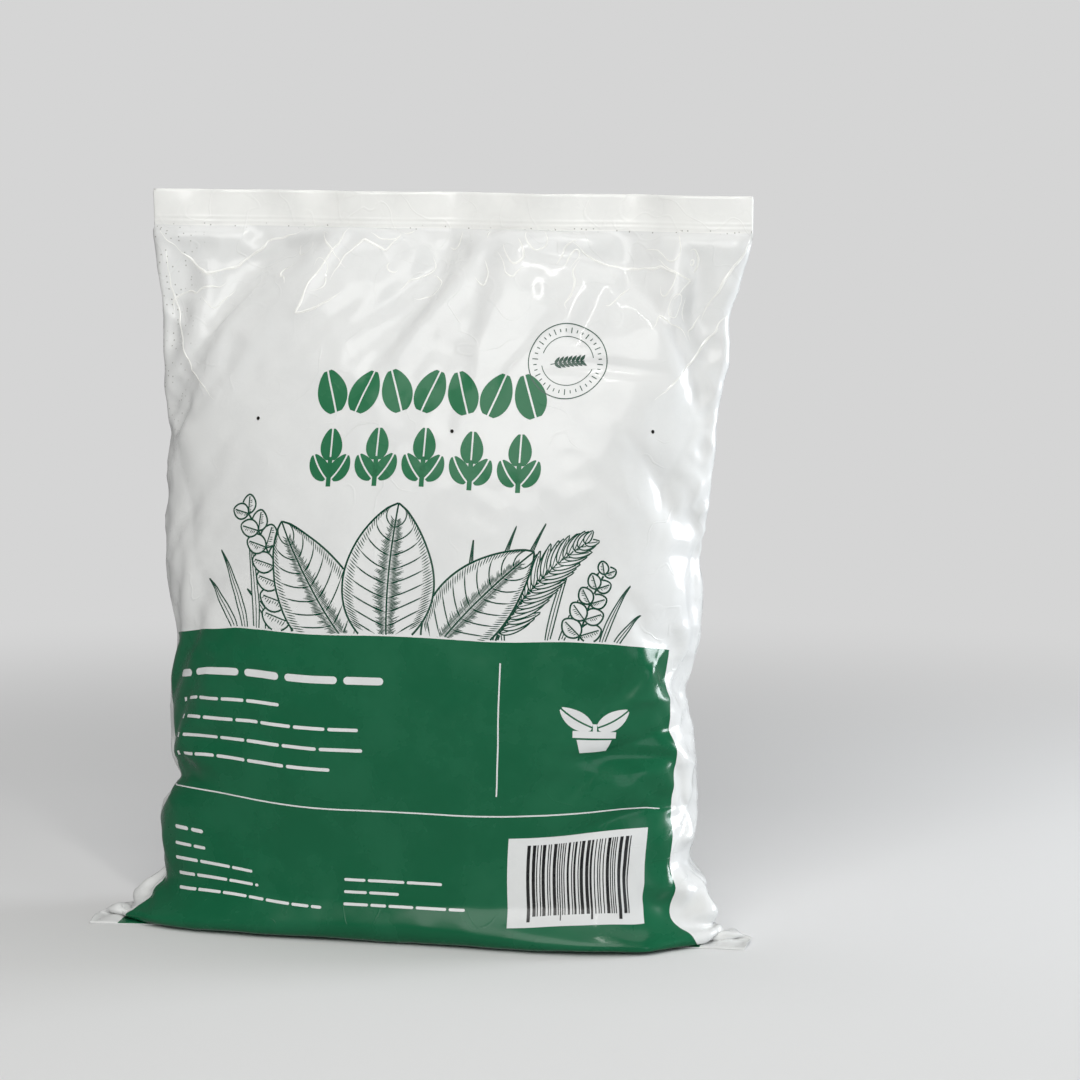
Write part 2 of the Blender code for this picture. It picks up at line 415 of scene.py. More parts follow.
def film_piece(name: str, corners: list, faces: list[tuple[int, ...]], finishes: list[bpy.types.Material],
               kinds: list[int] | None = None, flat: Points | None = None) -> bpy.types.Object:
    """A piece of the bag, which rides on its body.

    Args:
        name: The name of the piece.
        corners: The places of its vertices.
        faces: The vertex numbers of each face.
        finishes: Its materials.
        kinds: The number of each face's material, where it has more than one.
        flat: The flat coordinates of each corner of each face, where the finish needs them.

    Returns:
        The piece.
    """
    mesh = bpy.data.meshes.new(name)
    mesh.from_pydata(corners, [], faces)
    layer = mesh.uv_layers.new(name=UV_NAME)
    if flat is not None:
        layer.uv.foreach_set("vector", flat)
    for finish in finishes:
        mesh.materials.append(finish)
    if kinds is not None:
        mesh.polygons.foreach_set("material_index", np.array(kinds, dtype=np.int32))
    mesh.shade_smooth()
    piece = linked(name, mesh)
    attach(piece, BODY)
    return piece


@dataclass
class FilmSimulation:
    """Draws the flat film onto the filled form, with the slack that the real film has.

    The faces follow the compost more closely than the sides do, so the sides fold by themselves.
    """

    form: BagForm
    cell: float = 0.0060
    dense_rings: int = 160
    front_share: float = 0.6
    film_length: float = 0.432
    rest_gap: float = 0.003
    even_sides: Span = (0.45, 0.95)
    face_hold: float = 0.45
    side_hold: float = 0.25
    side_start: float = 0.45
    side_reach: float = 0.40
    top_start: float = 0.80
    top_share: float = 0.5
    base_end: float = 0.34
    base_blend: float = 0.12
    base_hold: float = 0.85
    base_side_share: float = 0.6
    guard_sides: Span = (0.5, 0.9)
    guard_low: float = 0.46
    guard_high: float = 0.92
    guard_blend: float = 0.08
    guard_hold: float = 0.35
    pressure: float = 1.0
    stiffness: float = 80.0
    shear: float = 40.0
    bending: float = 0.02
    damping: float = 10.0
    air_damping: float = 2.0
    film_mass: float = 0.02
    quality: int = 8
    contact_gap: float = 0.0015
    draw_frames: int = 20
    frames: int = 50
    plate_half: float = 0.6
    plate_drop: float = 0.002
    plate_skin: float = 0.001
    plate_friction: float = 5.0
    calm_face: Span = (0.35, 0.80)
    calm_share: float = 0.65
    calm_sides: float = 0.40
    calm_low: float = 0.05
    calm_low_blend: float = 0.12
    calm_high: float = 0.90
    calm_high_blend: float = 0.20
    foot_calm: float = 0.85
    foot_rise: Span = (0.06, 0.10)
    foot_fall: Span = (0.24, 0.32)
    foot_sides: Span = (0.78, 0.94)

    @property
    def quarter(self) -> int:
        """The number of cells in a quarter of the tube."""
        return round(self.form.flat_width / 2 / self.cell)

    def near_side(self, columns: int) -> Points:
        """How near each column is to a side: 0 in the middle of a face and 1 at a side."""
        quarter = columns // 4
        return np.abs(np.arange(columns) % (2 * quarter) - quarter) / quarter

    def target(self) -> Points:
        """The filled form as a grid of rows and columns.

        In the middle of a face the rows are even along the film. At the sides they follow the rings, which
        leaves film to spare in the ears.
        """
        last = len(self.form.stations()) - 1
        dense = np.array([
            self.form.loop(last * k / self.dense_rings, self.quarter) for k in range(self.dense_rings + 1)
        ])
        dense -= self.form.middle(dense)
        columns = dense.shape[1]
        paths = np.stack([path_lengths(dense[:, i]) for i in range(columns)], axis=1)
        front, back = paths[:, columns // 4], paths[:, 3 * columns // 4]
        ring_share = self.front_share * front + (1 - self.front_share) * back
        ring_share /= ring_share[-1]
        on_face = 1 - smooth_step(self.near_side(columns), *self.even_sides)
        rows = round(paths[-1].mean() / self.cell)
        grid = np.empty((rows + 1, columns, 3))
        wanted = np.arange(rows + 1) / rows
        for i in range(columns):
            share = ring_share * (1 - on_face[i]) + paths[:, i] / paths[-1, i] * on_face[i]
            for k in range(3):
                grid[:, i, k] = np.interp(wanted, share, dense[:, i, k])
        return grid

    def rest(self, grid: Points) -> Points:
        """The film before it is filled: the flat tube, with front and back a little apart.

        Args:
            grid: The grid of target points.

        Returns:
            The grid of rest points.
        """
        rows, columns = grid.shape[0] - 1, grid.shape[1]
        q = columns // 4
        number = np.arange(columns)
        across = np.where(number <= 2 * q, number, columns - number)
        facing = np.where(number % (2 * q) == 0, 0, np.where(number < 2 * q, -1, 1))
        flat = np.zeros_like(grid)
        flat[..., 0] = (across - q) * self.form.flat_width / (2 * q)
        flat[1:-1, :, 1] = self.rest_gap * facing
        flat[..., 2] = np.arange(rows + 1)[:, None] * self.film_length / rows
        return flat

    def holds(self, rows: int, columns: int) -> Points:
        """How strongly each point is held to the form.

        Args:
            rows: The number of rows of cells.
            columns: The number of columns.

        Returns:
            A grid of weights, which are 1 along the welds.
        """
        near_side = self.near_side(columns)
        on_face = 1 - np.clip((near_side - self.side_start) / self.side_reach, 0, 1)
        hold = self.side_hold + (self.face_hold - self.side_hold) * on_face
        share = np.arange(rows + 1) / rows
        grid = np.where(share > self.top_start, self.top_share, 1.0)[:, None] * hold[None, :]
        base = 1 - smooth_step(share, self.base_end - self.base_blend, self.base_end)
        at_base = self.base_side_share + (1 - self.base_side_share) * on_face
        grid += (self.base_hold - grid) * base[:, None] * at_base[None, :]
        is_left = np.abs(np.arange(columns) - columns / 2) > columns / 4
        left = smooth_step(near_side, *self.guard_sides) * is_left
        guarded = smooth_step(share, self.guard_low, self.guard_low + self.guard_blend)
        guarded *= 1 - smooth_step(share, self.guard_high - self.guard_blend, self.guard_high)
        grid += (self.guard_hold - grid) * guarded[:, None] * left[None, :]
        grid[[0, -1]] = 1.0
        return grid

    def run(self) -> Points:
        """Simulates the film.

        Returns:
            The grid of settled points, as rows of closed loops.
        """
        target = self.target()
        rows, columns = target.shape[0] - 1, target.shape[1]
        rest, holds = self.rest(target), self.holds(rows, columns)
        index = np.arange((rows + 1) * columns).reshape(rows + 1, columns)
        for j in (0, rows):
            for i in range(columns // 2 + 1, columns):
                index[j, i] = index[j, columns - i]
        used, flat_index = np.unique(index, return_inverse=True)
        index = flat_index.reshape(index.shape)
        film = self.mesh_object(index, rest.reshape(-1, 3)[used])
        drawn = film.shape_key_add(name="drawn")
        drawn.data.foreach_set("co", target.reshape(-1, 3)[used].ravel())
        for value, at in ((0.0, 1), (1.0, self.draw_frames)):
            drawn.value = value
            drawn.keyframe_insert("value", frame=at)
        group = film.vertex_groups.new(name="held")
        for vertex, hold in enumerate(holds.reshape(-1)[used]):
            group.add([vertex], float(hold), "REPLACE")
        self.add_cloth(film, group)
        floor = self.floor_plate()
        for number in range(1, self.frames + 1):
            bpy.context.scene.frame_set(number)
        settled = film.evaluated_get(bpy.context.evaluated_depsgraph_get()).data
        points = np.empty(len(settled.vertices) * 3)
        settled.vertices.foreach_get("co", points)
        points = points.reshape(-1, 3)[index]
        for obj in (film, floor):
            data = obj.data
            bpy.data.objects.remove(obj)
            bpy.data.meshes.remove(data)
        for action in list(bpy.data.actions):
            bpy.data.actions.remove(action)
        bpy.context.scene.frame_set(1)
        return points + (target - points) * self.calm(rows, columns)[..., None]

    def calm(self, rows: int, columns: int) -> Points:
        """How much of the settled film's ripples the compact fill behind it takes out.

        Args:
            rows: The number of rows of cells.
            columns: The number of columns.

        Returns:
            A grid of shares, highest in the middle of the faces.
        """
        near_side = self.near_side(columns)
        on_face = 1 - smooth_step(near_side, *self.calm_face)
        share = np.arange(rows + 1) / rows
        filled = smooth_step(share, self.calm_low, self.calm_low + self.calm_low_blend)
        filled *= 1 - smooth_step(share, self.calm_high - self.calm_high_blend, self.calm_high)
        held = filled[:, None] * (self.calm_sides + (self.calm_share - self.calm_sides) * on_face)[None, :]
        low = smooth_step(share, *self.foot_rise) * (1 - smooth_step(share, *self.foot_fall))
        inner = 1 - smooth_step(near_side, *self.foot_sides)
        return np.maximum(held, self.foot_calm * low[:, None] * inner[None, :])

    def mesh_object(self, index: Points, places: Points) -> bpy.types.Object:
        """The film's mesh, closed round the tube and welded at both ends.

        Args:
            index: The vertex number at each row and column.
            places: The rest places.

        Returns:
            The object, linked to the scene.
        """
        faces = []
        for lower, upper in zip(index, index[1:]):
            for i in range(len(lower)):
                k = (i + 1) % len(lower)
                corners = (int(lower[i]), int(lower[k]), int(upper[k]), int(upper[i]))
                faces.append(tuple(dict.fromkeys(corners)))
        mesh = bpy.data.meshes.new("film_cloth")
        mesh.from_pydata(places.tolist(), [], faces)
        film = linked("film_cloth", mesh)
        film.shape_key_add(name="flat")
        return film

    def add_cloth(self, film: bpy.types.Object, group: bpy.types.VertexGroup) -> None:
        """Gives the film its cloth settings.

        Args:
            film: The film's object.
            group: The weights that hold it to the form.
        """
        cloth = film.modifiers.new("film_cloth", "CLOTH")
        settings = cloth.settings
        settings.vertex_group_mass = group.name
        settings.pin_stiffness = 1.0
        settings.quality = self.quality
        settings.mass = self.film_mass
        settings.tension_stiffness = self.stiffness
        settings.compression_stiffness = self.stiffness
        settings.shear_stiffness = self.shear
        settings.bending_stiffness = self.bending
        settings.tension_damping = self.damping
        settings.compression_damping = self.damping
        settings.shear_damping = self.damping
        settings.air_damping = self.air_damping
        settings.use_pressure = True
        settings.uniform_pressure_force = self.pressure
        settings.use_pressure_volume = False
        settings.effector_weights.gravity = 0.0
        cloth.collision_settings.use_collision = True
        cloth.collision_settings.distance_min = self.contact_gap
        cloth.collision_settings.use_self_collision = False
        cloth.point_cache.frame_start = 1
        cloth.point_cache.frame_end = self.frames

    def floor_plate(self) -> bpy.types.Object:
        """A plate just under the bag for the film to rest on while it settles."""
        plate = linked("floor_plate", square_mesh("floor_plate", self.plate_half, -self.plate_drop))
        plate.modifiers.new("floor_plate", "COLLISION")
        plate.collision.thickness_outer = self.plate_skin
        plate.collision.cloth_friction = self.plate_friction
        return plate


def bspline_mix(f: Points, rows: list[Points]) -> Points:
    """A cubic B-spline between the middle two of four neighbours."""
    near = ((1 - f) ** 3 / 6, (3 * f**3 - 6 * f**2 + 4) / 6)
    shares = (*near, (-3 * f**3 + 3 * f**2 + 3 * f + 1) / 6, f**3 / 6)
    return sum(share * row for share, row in zip(shares, rows))


def bspline_rows(control: Points, at: Points) -> Points:
    """Rows of a cubic B-spline through a grid whose first and last rows stay in place.

    Args:
        control: The control grid, rows first.
        at: The row places wanted, in rows of the control grid.

    Returns:
        The wanted rows.
    """
    padded = np.concatenate([2 * control[:1] - control[1:2], control, 2 * control[-1:] - control[-2:-1]])
    k = np.minimum(at.astype(int), len(control) - 2)
    f = (at - k).reshape((-1,) + (1,) * (control.ndim - 1))
    return bspline_mix(f, [padded[k + step] for step in range(4)])


def bspline_loops(control: Points, at: Points) -> Points:
    """Columns of a cubic B-spline round a closed grid.

    Args:
        control: The control grid, columns second.
        at: The column places wanted, in columns of the control grid.

    Returns:
        The wanted columns.
    """
    count = control.shape[1]
    k = np.floor(at).astype(int)
    f = (at - k)[None, :, None]
    return bspline_mix(f, [control[:, (k + step - 1) % count] for step in range(4)])


@dataclass(frozen=True)
class Outline:
    """How far the sides stand out as the camera sees them, as pairs of height and place in millimetres."""

    left: Pairs = (
        (-5, -181), (-2, -181), (1, -176), (5, -171), (10, -165), (14, -160), (18, -155), (22, -149),
        (30, -147), (42, -148), (55, -148), (63, -146), (67, -141), (73, -139), (79, -143), (89, -144),
        (100, -144), (122, -142), (135, -140), (146, -138), (153, -139), (164, -142), (177, -144),
        (195, -145), (231, -144), (259, -143), (282, -145), (296, -146), (313, -145), (328, -146),
        (350, -149), (366, -151),
    )
    right: Pairs = (
        (-2, 175), (1, 172), (4, 167), (7, 160), (11, 155), (22, 151), (31, 148), (37, 143), (41, 141),
        (49, 143), (66, 144), (91, 143), (110, 142), (122, 139), (128, 137), (143, 142), (157, 145),
        (183, 146), (199, 144), (217, 148), (240, 150), (257, 153), (272, 153), (283, 156), (299, 159),
        (324, 159), (337, 164), (349, 167), (360, 171), (366, 172),
    )
    reach: float = 0.70
    ear_reach: float = 0.87
    ear_top: float = 0.032
    slice_height: float = 0.003
    blur: float = 0.006
    blur_slices: int = 4
    foot_reach: float = 0.024
    foot_push: float = 0.006
    foot_front: Span = (0.020, 0.045)
    corner_push: float = 0.010
    corner_rise: Span = (0.0, 0.110)
    corner_fall: Span = (0.128, 0.150)
    rounds: int = 3

    def seen(self, points: Points) -> tuple[Points, Points]:
        """Where points seem to stand across and up, on an upright plane through the middle of the bag.

        Args:
            points: The points.

        Returns:
            Their places across, and their heights.
        """
        turned, raised = math.radians(VIEW_AZIMUTH), math.radians(VIEW_PITCH)
        across = points[..., 0] + points[..., 1] * math.tan(turned)
        return across, points[..., 2] + points[..., 1] * math.tan(raised) / math.cos(turned)

    def moved(self, points: Points) -> Points:
        """The film's points with their sides moved out or in to the outline.

        Args:
            points: The film's points.

        Returns:
            The moved points. The middle of the faces stays as it is.
        """
        moved = points.copy()
        slices = np.arange(-self.blur_slices, self.blur_slices + 1)
        even = np.exp(-((slices * self.slice_height / self.blur) ** 2))
        for _ in range(self.rounds):
            across, height = self.seen(moved)
            middle = (across.max() + across.min()) / 2
            for side, pairs in ((Side.LEFT, self.left), (Side.RIGHT, self.right)):
                heights, places = np.array(pairs).T * MM
                centres = np.arange(heights[0], heights[-1], self.slice_height)
                shifts = []
                for centre in centres:
                    near = np.abs(height - centre) < self.slice_height
                    edge = side.value * (side.value * across[near]).max()
                    shifts.append(np.interp(centre, heights, places) - edge)
                padded = np.pad(shifts, self.blur_slices, mode="edge")
                shifts = np.convolve(padded, even / even.sum(), mode="valid")
                out = side.value * (across - middle) / np.abs(np.interp(height, heights, places) - middle)
                raised = smooth_step(height, 0.0, self.ear_top)
                reach = self.ear_reach + (self.reach - self.ear_reach) * raised
                share = smooth_step((out - reach) / (1 - reach), 0.0, 1.0)
                moved[..., 0] += np.interp(height, centres, shifts) * share
        return self.footed(moved)

    def footed(self, points: Points) -> Points:
        """The film's points with the front of the base pressed out to a full edge on the floor.

        Args:
            points: The film's points.

        Returns:
            The moved points.
        """
        moved = points.copy()
        x, y, z = np.moveaxis(points, -1, 0)
        low = 1 - smooth_step(z, 0.0, self.foot_reach)
        front = smooth_step(-y, *self.foot_front)
        corner = smooth_step(x, *self.corner_rise) * (1 - smooth_step(x, *self.corner_fall))
        moved[..., 1] -= (self.foot_push + self.corner_push * corner) * low * front
        return moved


@dataclass
class FilmSurface:
    """The settled film as a fine grid of points over its flat coordinates."""

    form: BagForm
    settled: Points
    outline: Outline = field(default_factory=Outline)
    length: float = 0.424
    front_columns: int = 240
    back_columns: int = 80
    rows: int = 264
    floor_gap: float = 0.0009
    points: Points = field(init=False)

    def __post_init__(self) -> None:
        """Works out the fine grid."""
        quarter = self.settled.shape[1] / 4
        front = np.arange(self.front_columns) / self.front_columns * 2 * quarter
        back = (1 + np.arange(self.back_columns) / self.back_columns) * 2 * quarter
        fine = bspline_loops(self.settled, np.concatenate([front, back]))
        self.points = bspline_rows(fine, np.arange(self.rows + 1) / self.rows * (len(self.settled) - 1))
        self.points = self.outline.moved(self.points)
        self.rest_on_floor()

    @property
    def columns(self) -> int:
        """The number of columns round the tube."""
        return self.front_columns + self.back_columns

    @property
    def u(self) -> Points:
        """The flat coordinate of each column, and of the first one again after a full turn."""
        width = self.form.flat_width
        front = np.arange(self.front_columns) / self.front_columns * width - width / 2
        back = np.arange(self.back_columns + 1) / self.back_columns * width + width / 2
        return np.concatenate([front, back])

    @property
    def v(self) -> Points:
        """The flat coordinate of each row."""
        return np.arange(self.rows + 1) / self.rows * self.length

    def rest_on_floor(self) -> None:
        """Keeps the film above the floor, and its front above the folded bottom weld."""
        lowest = np.zeros(self.columns)
        lowest[: self.front_columns + 1] = self.floor_gap
        self.points[..., 2] = np.maximum(self.points[..., 2], lowest[None, :])

    def normals(self) -> Points:
        """The outward normal at each point."""
        around = np.roll(self.points, -1, axis=1) - np.roll(self.points, 1, axis=1)
        upward = np.gradient(self.points, axis=0)
        normal = np.cross(around, upward)
        size = np.linalg.norm(normal, axis=2, keepdims=True)
        return normal / np.maximum(size, TINY)

    def push(self, amount: Points) -> None:
        """Moves the points along their normals."""
        self.points = self.points + self.normals() * amount[..., None]
        self.rest_on_floor()

    def at(self, u: Points, v: Points, lift: float | Points) -> Points:
        """Places on the front film, a little above its surface.

        Args:
            u: Flat coordinates across.
            v: Flat coordinates up.
            lift: The height above the film.

        Returns:
            The places.
        """
        inside_edge = 1e-6
        last = self.front_columns - inside_edge
        column = np.clip((u / self.form.flat_width + 0.5) * self.front_columns, 0, last)
        row = np.clip(v / self.length * self.rows, 0, self.rows - inside_edge)
        i, j = column.astype(int), row.astype(int)
        f, g = (column - i)[:, None], (row - j)[:, None]

        def mixed(grid: Points) -> Points:
            """The grid's values between its rows and columns."""
            lower = grid[j, i] * (1 - f) + grid[j, i + 1] * f
            upper = grid[j + 1, i] * (1 - f) + grid[j + 1, i + 1] * f
            return lower * (1 - g) + upper * g

        normal = mixed(self.normals())
        normal /= np.maximum(np.linalg.norm(normal, axis=1, keepdims=True), TINY)
        return mixed(self.points) + normal * lift


@dataclass(frozen=True)
class Crease:
    """A fold line over flat coordinates in millimetres. It stands up from the front film, or sinks into it.

    A crested one also carries a fine ridge, coloured brighter than the film as a painted highlight.
    """

    path: Pairs
    height: float = 0.5
    width: float = 2.6
    crested: bool = True
    blunt_end: float = 0.04
    fullness: float = 0.5
    sharpness: float = 1.3

    def rise(self, u: Points, v: Points) -> Points:
        """The height of the crease at each place.

        Args:
            u: Flat coordinates across, in metres.
            v: Flat coordinates up, in metres.

        Returns:
            The heights, in metres, below zero where it sinks.
        """
        corners = np.array(self.path) * MM
        lengths = path_lengths(corners)
        nearest = np.full(u.shape, np.inf)
        along = np.zeros(u.shape)
        for k, (start, end) in enumerate(zip(corners, corners[1:])):
            run = end - start
            share = ((u - start[0]) * run[0] + (v - start[1]) * run[1]) / (run @ run)
            share = np.clip(share, 0, 1)
            away = np.hypot(u - start[0] - share * run[0], v - start[1] - share * run[1])
            closer = away < nearest
            nearest = np.where(closer, away, nearest)
            along = np.where(closer, lengths[k] + share * (lengths[k + 1] - lengths[k]), along)
        share = np.clip(along / lengths[-1], self.blunt_end, 1 - self.blunt_end)
        fade = np.sin(math.pi * share) ** self.fullness
        return self.height * MM * fade * np.exp(-((nearest / (self.width * MM)) ** self.sharpness))


@dataclass(frozen=True)
class NoiseLayer:
    """A layer of soft lumps or, where it is ridged, of sharp ridges."""

    height: float
    size: float
    seed: int
    is_ridged: bool = False
    ridge_slope: float = 3.0

    def rise(self, points: Points) -> Points:
        """The layer's height at each point.

        Args:
            points: A grid of points.

        Returns:
            A grid of heights.
        """
        shift = Vector((self.seed, 0, 0))
        places = points.reshape(-1, 3)
        values = np.array([noise.noise(Vector(place) / self.size + shift) for place in places])
        if self.is_ridged:
            values = 1 - self.ridge_slope * np.abs(values)
        return values.reshape(points.shape[:2]) * self.height


@dataclass(frozen=True)
class FilmRelief:
    """The relief that the fill and the handling leave in the film."""

    lumps: NoiseLayer = NoiseLayer(0.00030, 0.015, 3)
    swell: NoiseLayer = NoiseLayer(0.0006, 0.042, 11)
    crumple: NoiseLayer = NoiseLayer(0.00045, 0.024, 23, True)
    wrinkles: NoiseLayer = NoiseLayer(0.0011, 0.015, 31, True)
    seal_free: Span = (0.03, 0.12)
    seam_free: Span = (0.0, 0.03)
    crumple_reach: float = 0.060
    crumple_start: float = 0.006
    side_share: float = 0.75
    side_reach: Span = (0.010, 0.034)
    ear_reach: Span = (0.045, 0.080)
    weld_reach: float = 0.004
    creases: tuple[Crease, ...] = (
        Crease(((-168, 420), (-156, 408), (-140, 396), (-124, 401), (-107, 415), (-86, 419)), 0.75, 2.4),
        Crease(((-56, 418), (-64, 402), (-73, 384), (-78, 369), (-66, 373), (-54, 382)), 0.80, 2.6),
        Crease(((-61, 388), (-56, 402), (-47, 411), (-35, 407), (-29, 416)), 0.55, 2.2),
        Crease(((71, 414), (84, 406), (101, 404), (123, 404), (144, 397), (134, 388)), 0.80, 2.6),
        Crease(((172, 423), (169, 409), (163, 394), (158, 379)), 0.60, 2.4),
        Crease(((173, 385), (160, 368), (147, 353), (126, 332)), 0.70, 4.5),
        Crease(((-164, 409), (-162, 388), (-157, 366), (-143, 342), (-121, 323)), 0.80, 3.2),
        Crease(((156, 208), (134, 189), (124, 172), (146, 173), (166, 176)), 1.3, 3.6, False),
        Crease(((168, 196), (150, 186), (140, 180)), -2.2, 7.0, False),
        Crease(((176, 162), (140, 155), (104, 138)), -3.6, 8.0, False),
        Crease(((120, 128), (140, 132), (160, 140)), 1.2, 5.0, False),
        Crease(((174, 110), (139, 110), (104, 101)), -3.2, 6.5, False),
        Crease(((150, 62), (156, 84), (164, 96)), -2.4, 5.5, False),
        Crease(((-170, 119), (-150, 126), (-128, 124)), -1.6, 5.5, False),
        Crease(((-158, 318), (-136, 272), (-122, 226)), -1.7, 10.0, False),
        Crease(((156, 330), (140, 290), (134, 245)), -1.2, 9.0, False),
    )

    def apply(self, surface: FilmSurface) -> None:
        """Moves the film's points to give it its relief.

        Args:
            surface: The film.
        """
        points = surface.points
        u, v = np.meshgrid(surface.u[:-1], surface.v)
        from_seal = surface.length - v
        filled = smooth_step(from_seal, *self.seal_free) * smooth_step(v, *self.seam_free)
        near_seal = np.exp(-from_seal / self.crumple_reach) * smooth_step(from_seal, 0.0, self.crumple_start)
        amount = (self.lumps.rise(points) + self.swell.rise(points)) * filled
        amount += self.crumple.rise(points) * near_seal
        half = surface.form.flat_width / 2
        from_side = np.minimum(np.abs(np.abs(u) - half), np.abs(u - 3 * half))
        at_side = 1 - smooth_step(from_side, *self.side_reach)
        at_ear = at_side * (1 - smooth_step(v, *self.ear_reach))
        amount += self.wrinkles.rise(points) * np.maximum(at_side * self.side_share, at_ear)
        for crease in self.creases:
            amount += crease.rise(u, v)
        weld = smooth_step(v, 0.0, self.weld_reach) * smooth_step(from_seal, 0.0, self.weld_reach)
        surface.push(amount * weld)


@dataclass
class FilmBag:
    """The whole bag of film as one closed mesh: the filled tube, the top band and the folded bottom weld."""

    surface: FilmSurface
    fill: float = 0.85
    panel_top: float = 0.2015
    panel_left: float = 0.018
    panel_right: float = 0.023
    fin_steps: int = 6
    fin_curl: float = 0.0016
    fin_curl_start: float = 0.62
    fin_curl_length: float = 0.0045
    mark_step: float = 0.0005
    mark_zone: float = 0.006
    plain_steps: int = 8
    mark_heights: tuple[float, ...] = (0.0022, 0.0046)
    mark_rise: float = 0.00016
    mark_width: float = 0.0006
    band_sway: float = 0.0016
    band_waves: tuple[Tint, ...] = ((1.0, 0.081, 0.6), (0.6, 0.037, 2.0))
    band_sway_rise: float = 1.5
    corner_radius: float = 0.0025

    @property
    def half_weld(self) -> float:
        """Half the thickness of a weld."""
        return self.surface.form.weld_thickness / 2

    def facing(self) -> Points:
        """For each column -1 on the front, 1 on the back and 0 at the two sides."""
        columns = np.arange(self.surface.columns)
        front = self.surface.front_columns
        return np.where(columns % front == 0, 0, np.where(columns < front, -1, 1))

    def fin(self) -> tuple[Points, Points]:
        """The bottom weld, folded forward flat on the floor, from its free edge.

        Returns:
            Its rings, and the flat coordinate of each.
        """
        surface = self.surface
        seam = surface.points[0]
        band = surface.form.seal_band
        u = np.abs(self.across())
        half = surface.form.flat_width / 2
        tip = smooth_step(u, self.fin_curl_start * half, half)
        curl = tip * self.fin_curl
        rings, places = [], []
        for step in range(self.fin_steps):
            share = 1 - step / self.fin_steps
            upper = seam[:, 2] * (1 - share) + 2 * self.half_weld * share
            upper = upper + curl * math.sin(math.pi * share) ** 2 * np.sin(u / self.fin_curl_length) ** 2
            ring = seam.copy()
            ring[:, 1] -= band * share
            ring[:, 2] = upper - self.half_weld * (1 + self.facing())
            rings.append(ring)
            places.append(-band * share)
        return np.array(rings), np.array(places)

    def across(self) -> Points:
        """The flat coordinate of each column as seen from the front, so that front and back agree."""
        u = self.surface.u[:-1]
        width = self.surface.form.flat_width
        return np.where(u > width / 2, width - u, u)

    def band(self) -> tuple[Points, Points]:
        """The welded band above the top seal line, with the marks of the welding jaws.

        Returns:
            Its rings, and the flat coordinate of each.
        """
        surface, form = self.surface, self.surface.form
        seal = surface.points[-1]
        marked = np.arange(self.mark_step, self.mark_zone + self.mark_step / 2, self.mark_step)
        plain_part = form.seal_band - self.mark_zone
        plain = self.mark_zone + plain_part * (1 + np.arange(self.plain_steps)) / self.plain_steps
        u = self.across()
        from_side = form.flat_width / 2 - np.abs(u)
        missing = np.clip(1 - from_side / self.corner_radius, 0, 1)
        corner = self.corner_radius * (1 - np.sqrt(1 - missing**2))
        turns = 2 * math.pi * u
        waves = [size * np.sin(turns / length + phase) for size, length, phase in self.band_waves]
        sway = self.band_sway * sum(waves)
        rings = []
        heights = np.concatenate([marked, plain])
        for height in heights:
            share = height / form.seal_band
            mark = sum(math.exp(-(((height - at) / self.mark_width) ** 2)) for at in self.mark_heights)
            ring = seal.copy()
            depth = self.half_weld + self.mark_rise * mark
            ring[:, 1] += self.facing() * depth + sway * share**self.band_sway_rise
            ring[:, 2] = seal[:, 2] * (1 - share) + (form.standing_height - corner) * share
            rings.append(ring)
        return np.array(rings), surface.length + heights

    def build(self, finishes: Finishes) -> bpy.types.Object:
        """Makes the closed mesh. Its bare film, printed panel and band have materials of their own.

        Args:
            finishes: The materials, by name.

        Returns:
            The bag's object.
        """
        surface = self.surface
        fin_rings, fin_v = self.fin()
        band_rings, band_v = self.band()
        body = surface.points.copy()
        back = self.facing() > 0
        body[0, back, 2] -= 2 * self.half_weld
        body[-1, :, 1] += self.facing() * self.half_weld
        rings = np.concatenate([fin_rings, body, band_rings])
        v = np.concatenate([fin_v, surface.v, band_v])
        u = surface.u
        columns = surface.columns
        cell = surface.form.flat_width / surface.front_columns
        first_inked = round(self.panel_left / cell)
        last_inked = surface.front_columns - round(self.panel_right / cell)
        top_row = len(fin_v) + round(self.panel_top / surface.length * surface.rows)
        band_row = len(rings) - len(band_rings) - 1
        faces, kinds, places = [], [], []
        for j in range(len(rings) - 1):
            for i in range(columns):
                k = (i + 1) % columns
                low, high = j * columns, (j + 1) * columns
                faces.append((low + i, low + k, high + k, high + i))
                inked = j < top_row and first_inked <= i < last_inked
                kinds.append(1 if inked else 2 if j >= band_row else 0)
                places += [u[i], v[j], u[i + 1], v[j], u[i + 1], v[j + 1], u[i], v[j + 1]]
        for ring, up in ((0, False), (len(rings) - 1, True)):
            for face in self.cap(ring * columns, up):
                faces.append(face)
                kinds.append(2 if up else 0)
                places += [value for index in face for value in (u[index % columns], v[ring])]
        # The band's finish is a brighter copy of the white film: painted light on the upright band.
        bag = film_piece("printed_film", rings.reshape(-1, 3).tolist(), faces,
                         [finishes[name] for name in ("white_film", "green_film", "band_film_painted_light")],
                         kinds, np.array(places))
        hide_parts(BAG_NODE)
        return bag

    def cap(self, first: int, up: bool) -> list[tuple[int, ...]]:
        """Faces that close the free edge of a weld, between its front and its coarser back.

        Args:
            first: The number of the ring's first vertex.
            up: Whether the edge faces away from the bag's bottom.

        Returns:
            The faces.
        """
        front = self.surface.front_columns
        count = self.surface.columns
        ratio = front // self.surface.back_columns
        faces = []
        for b in range(self.surface.back_columns):
            ahead = [front - ratio * b - step for step in range(ratio + 1)]
            behind = [(front + b + 1) % count, front + b]
            corners = list(dict.fromkeys(ahead + behind))
            faces.append(tuple(first + c for c in (reversed(corners) if up else corners)))
        return faces


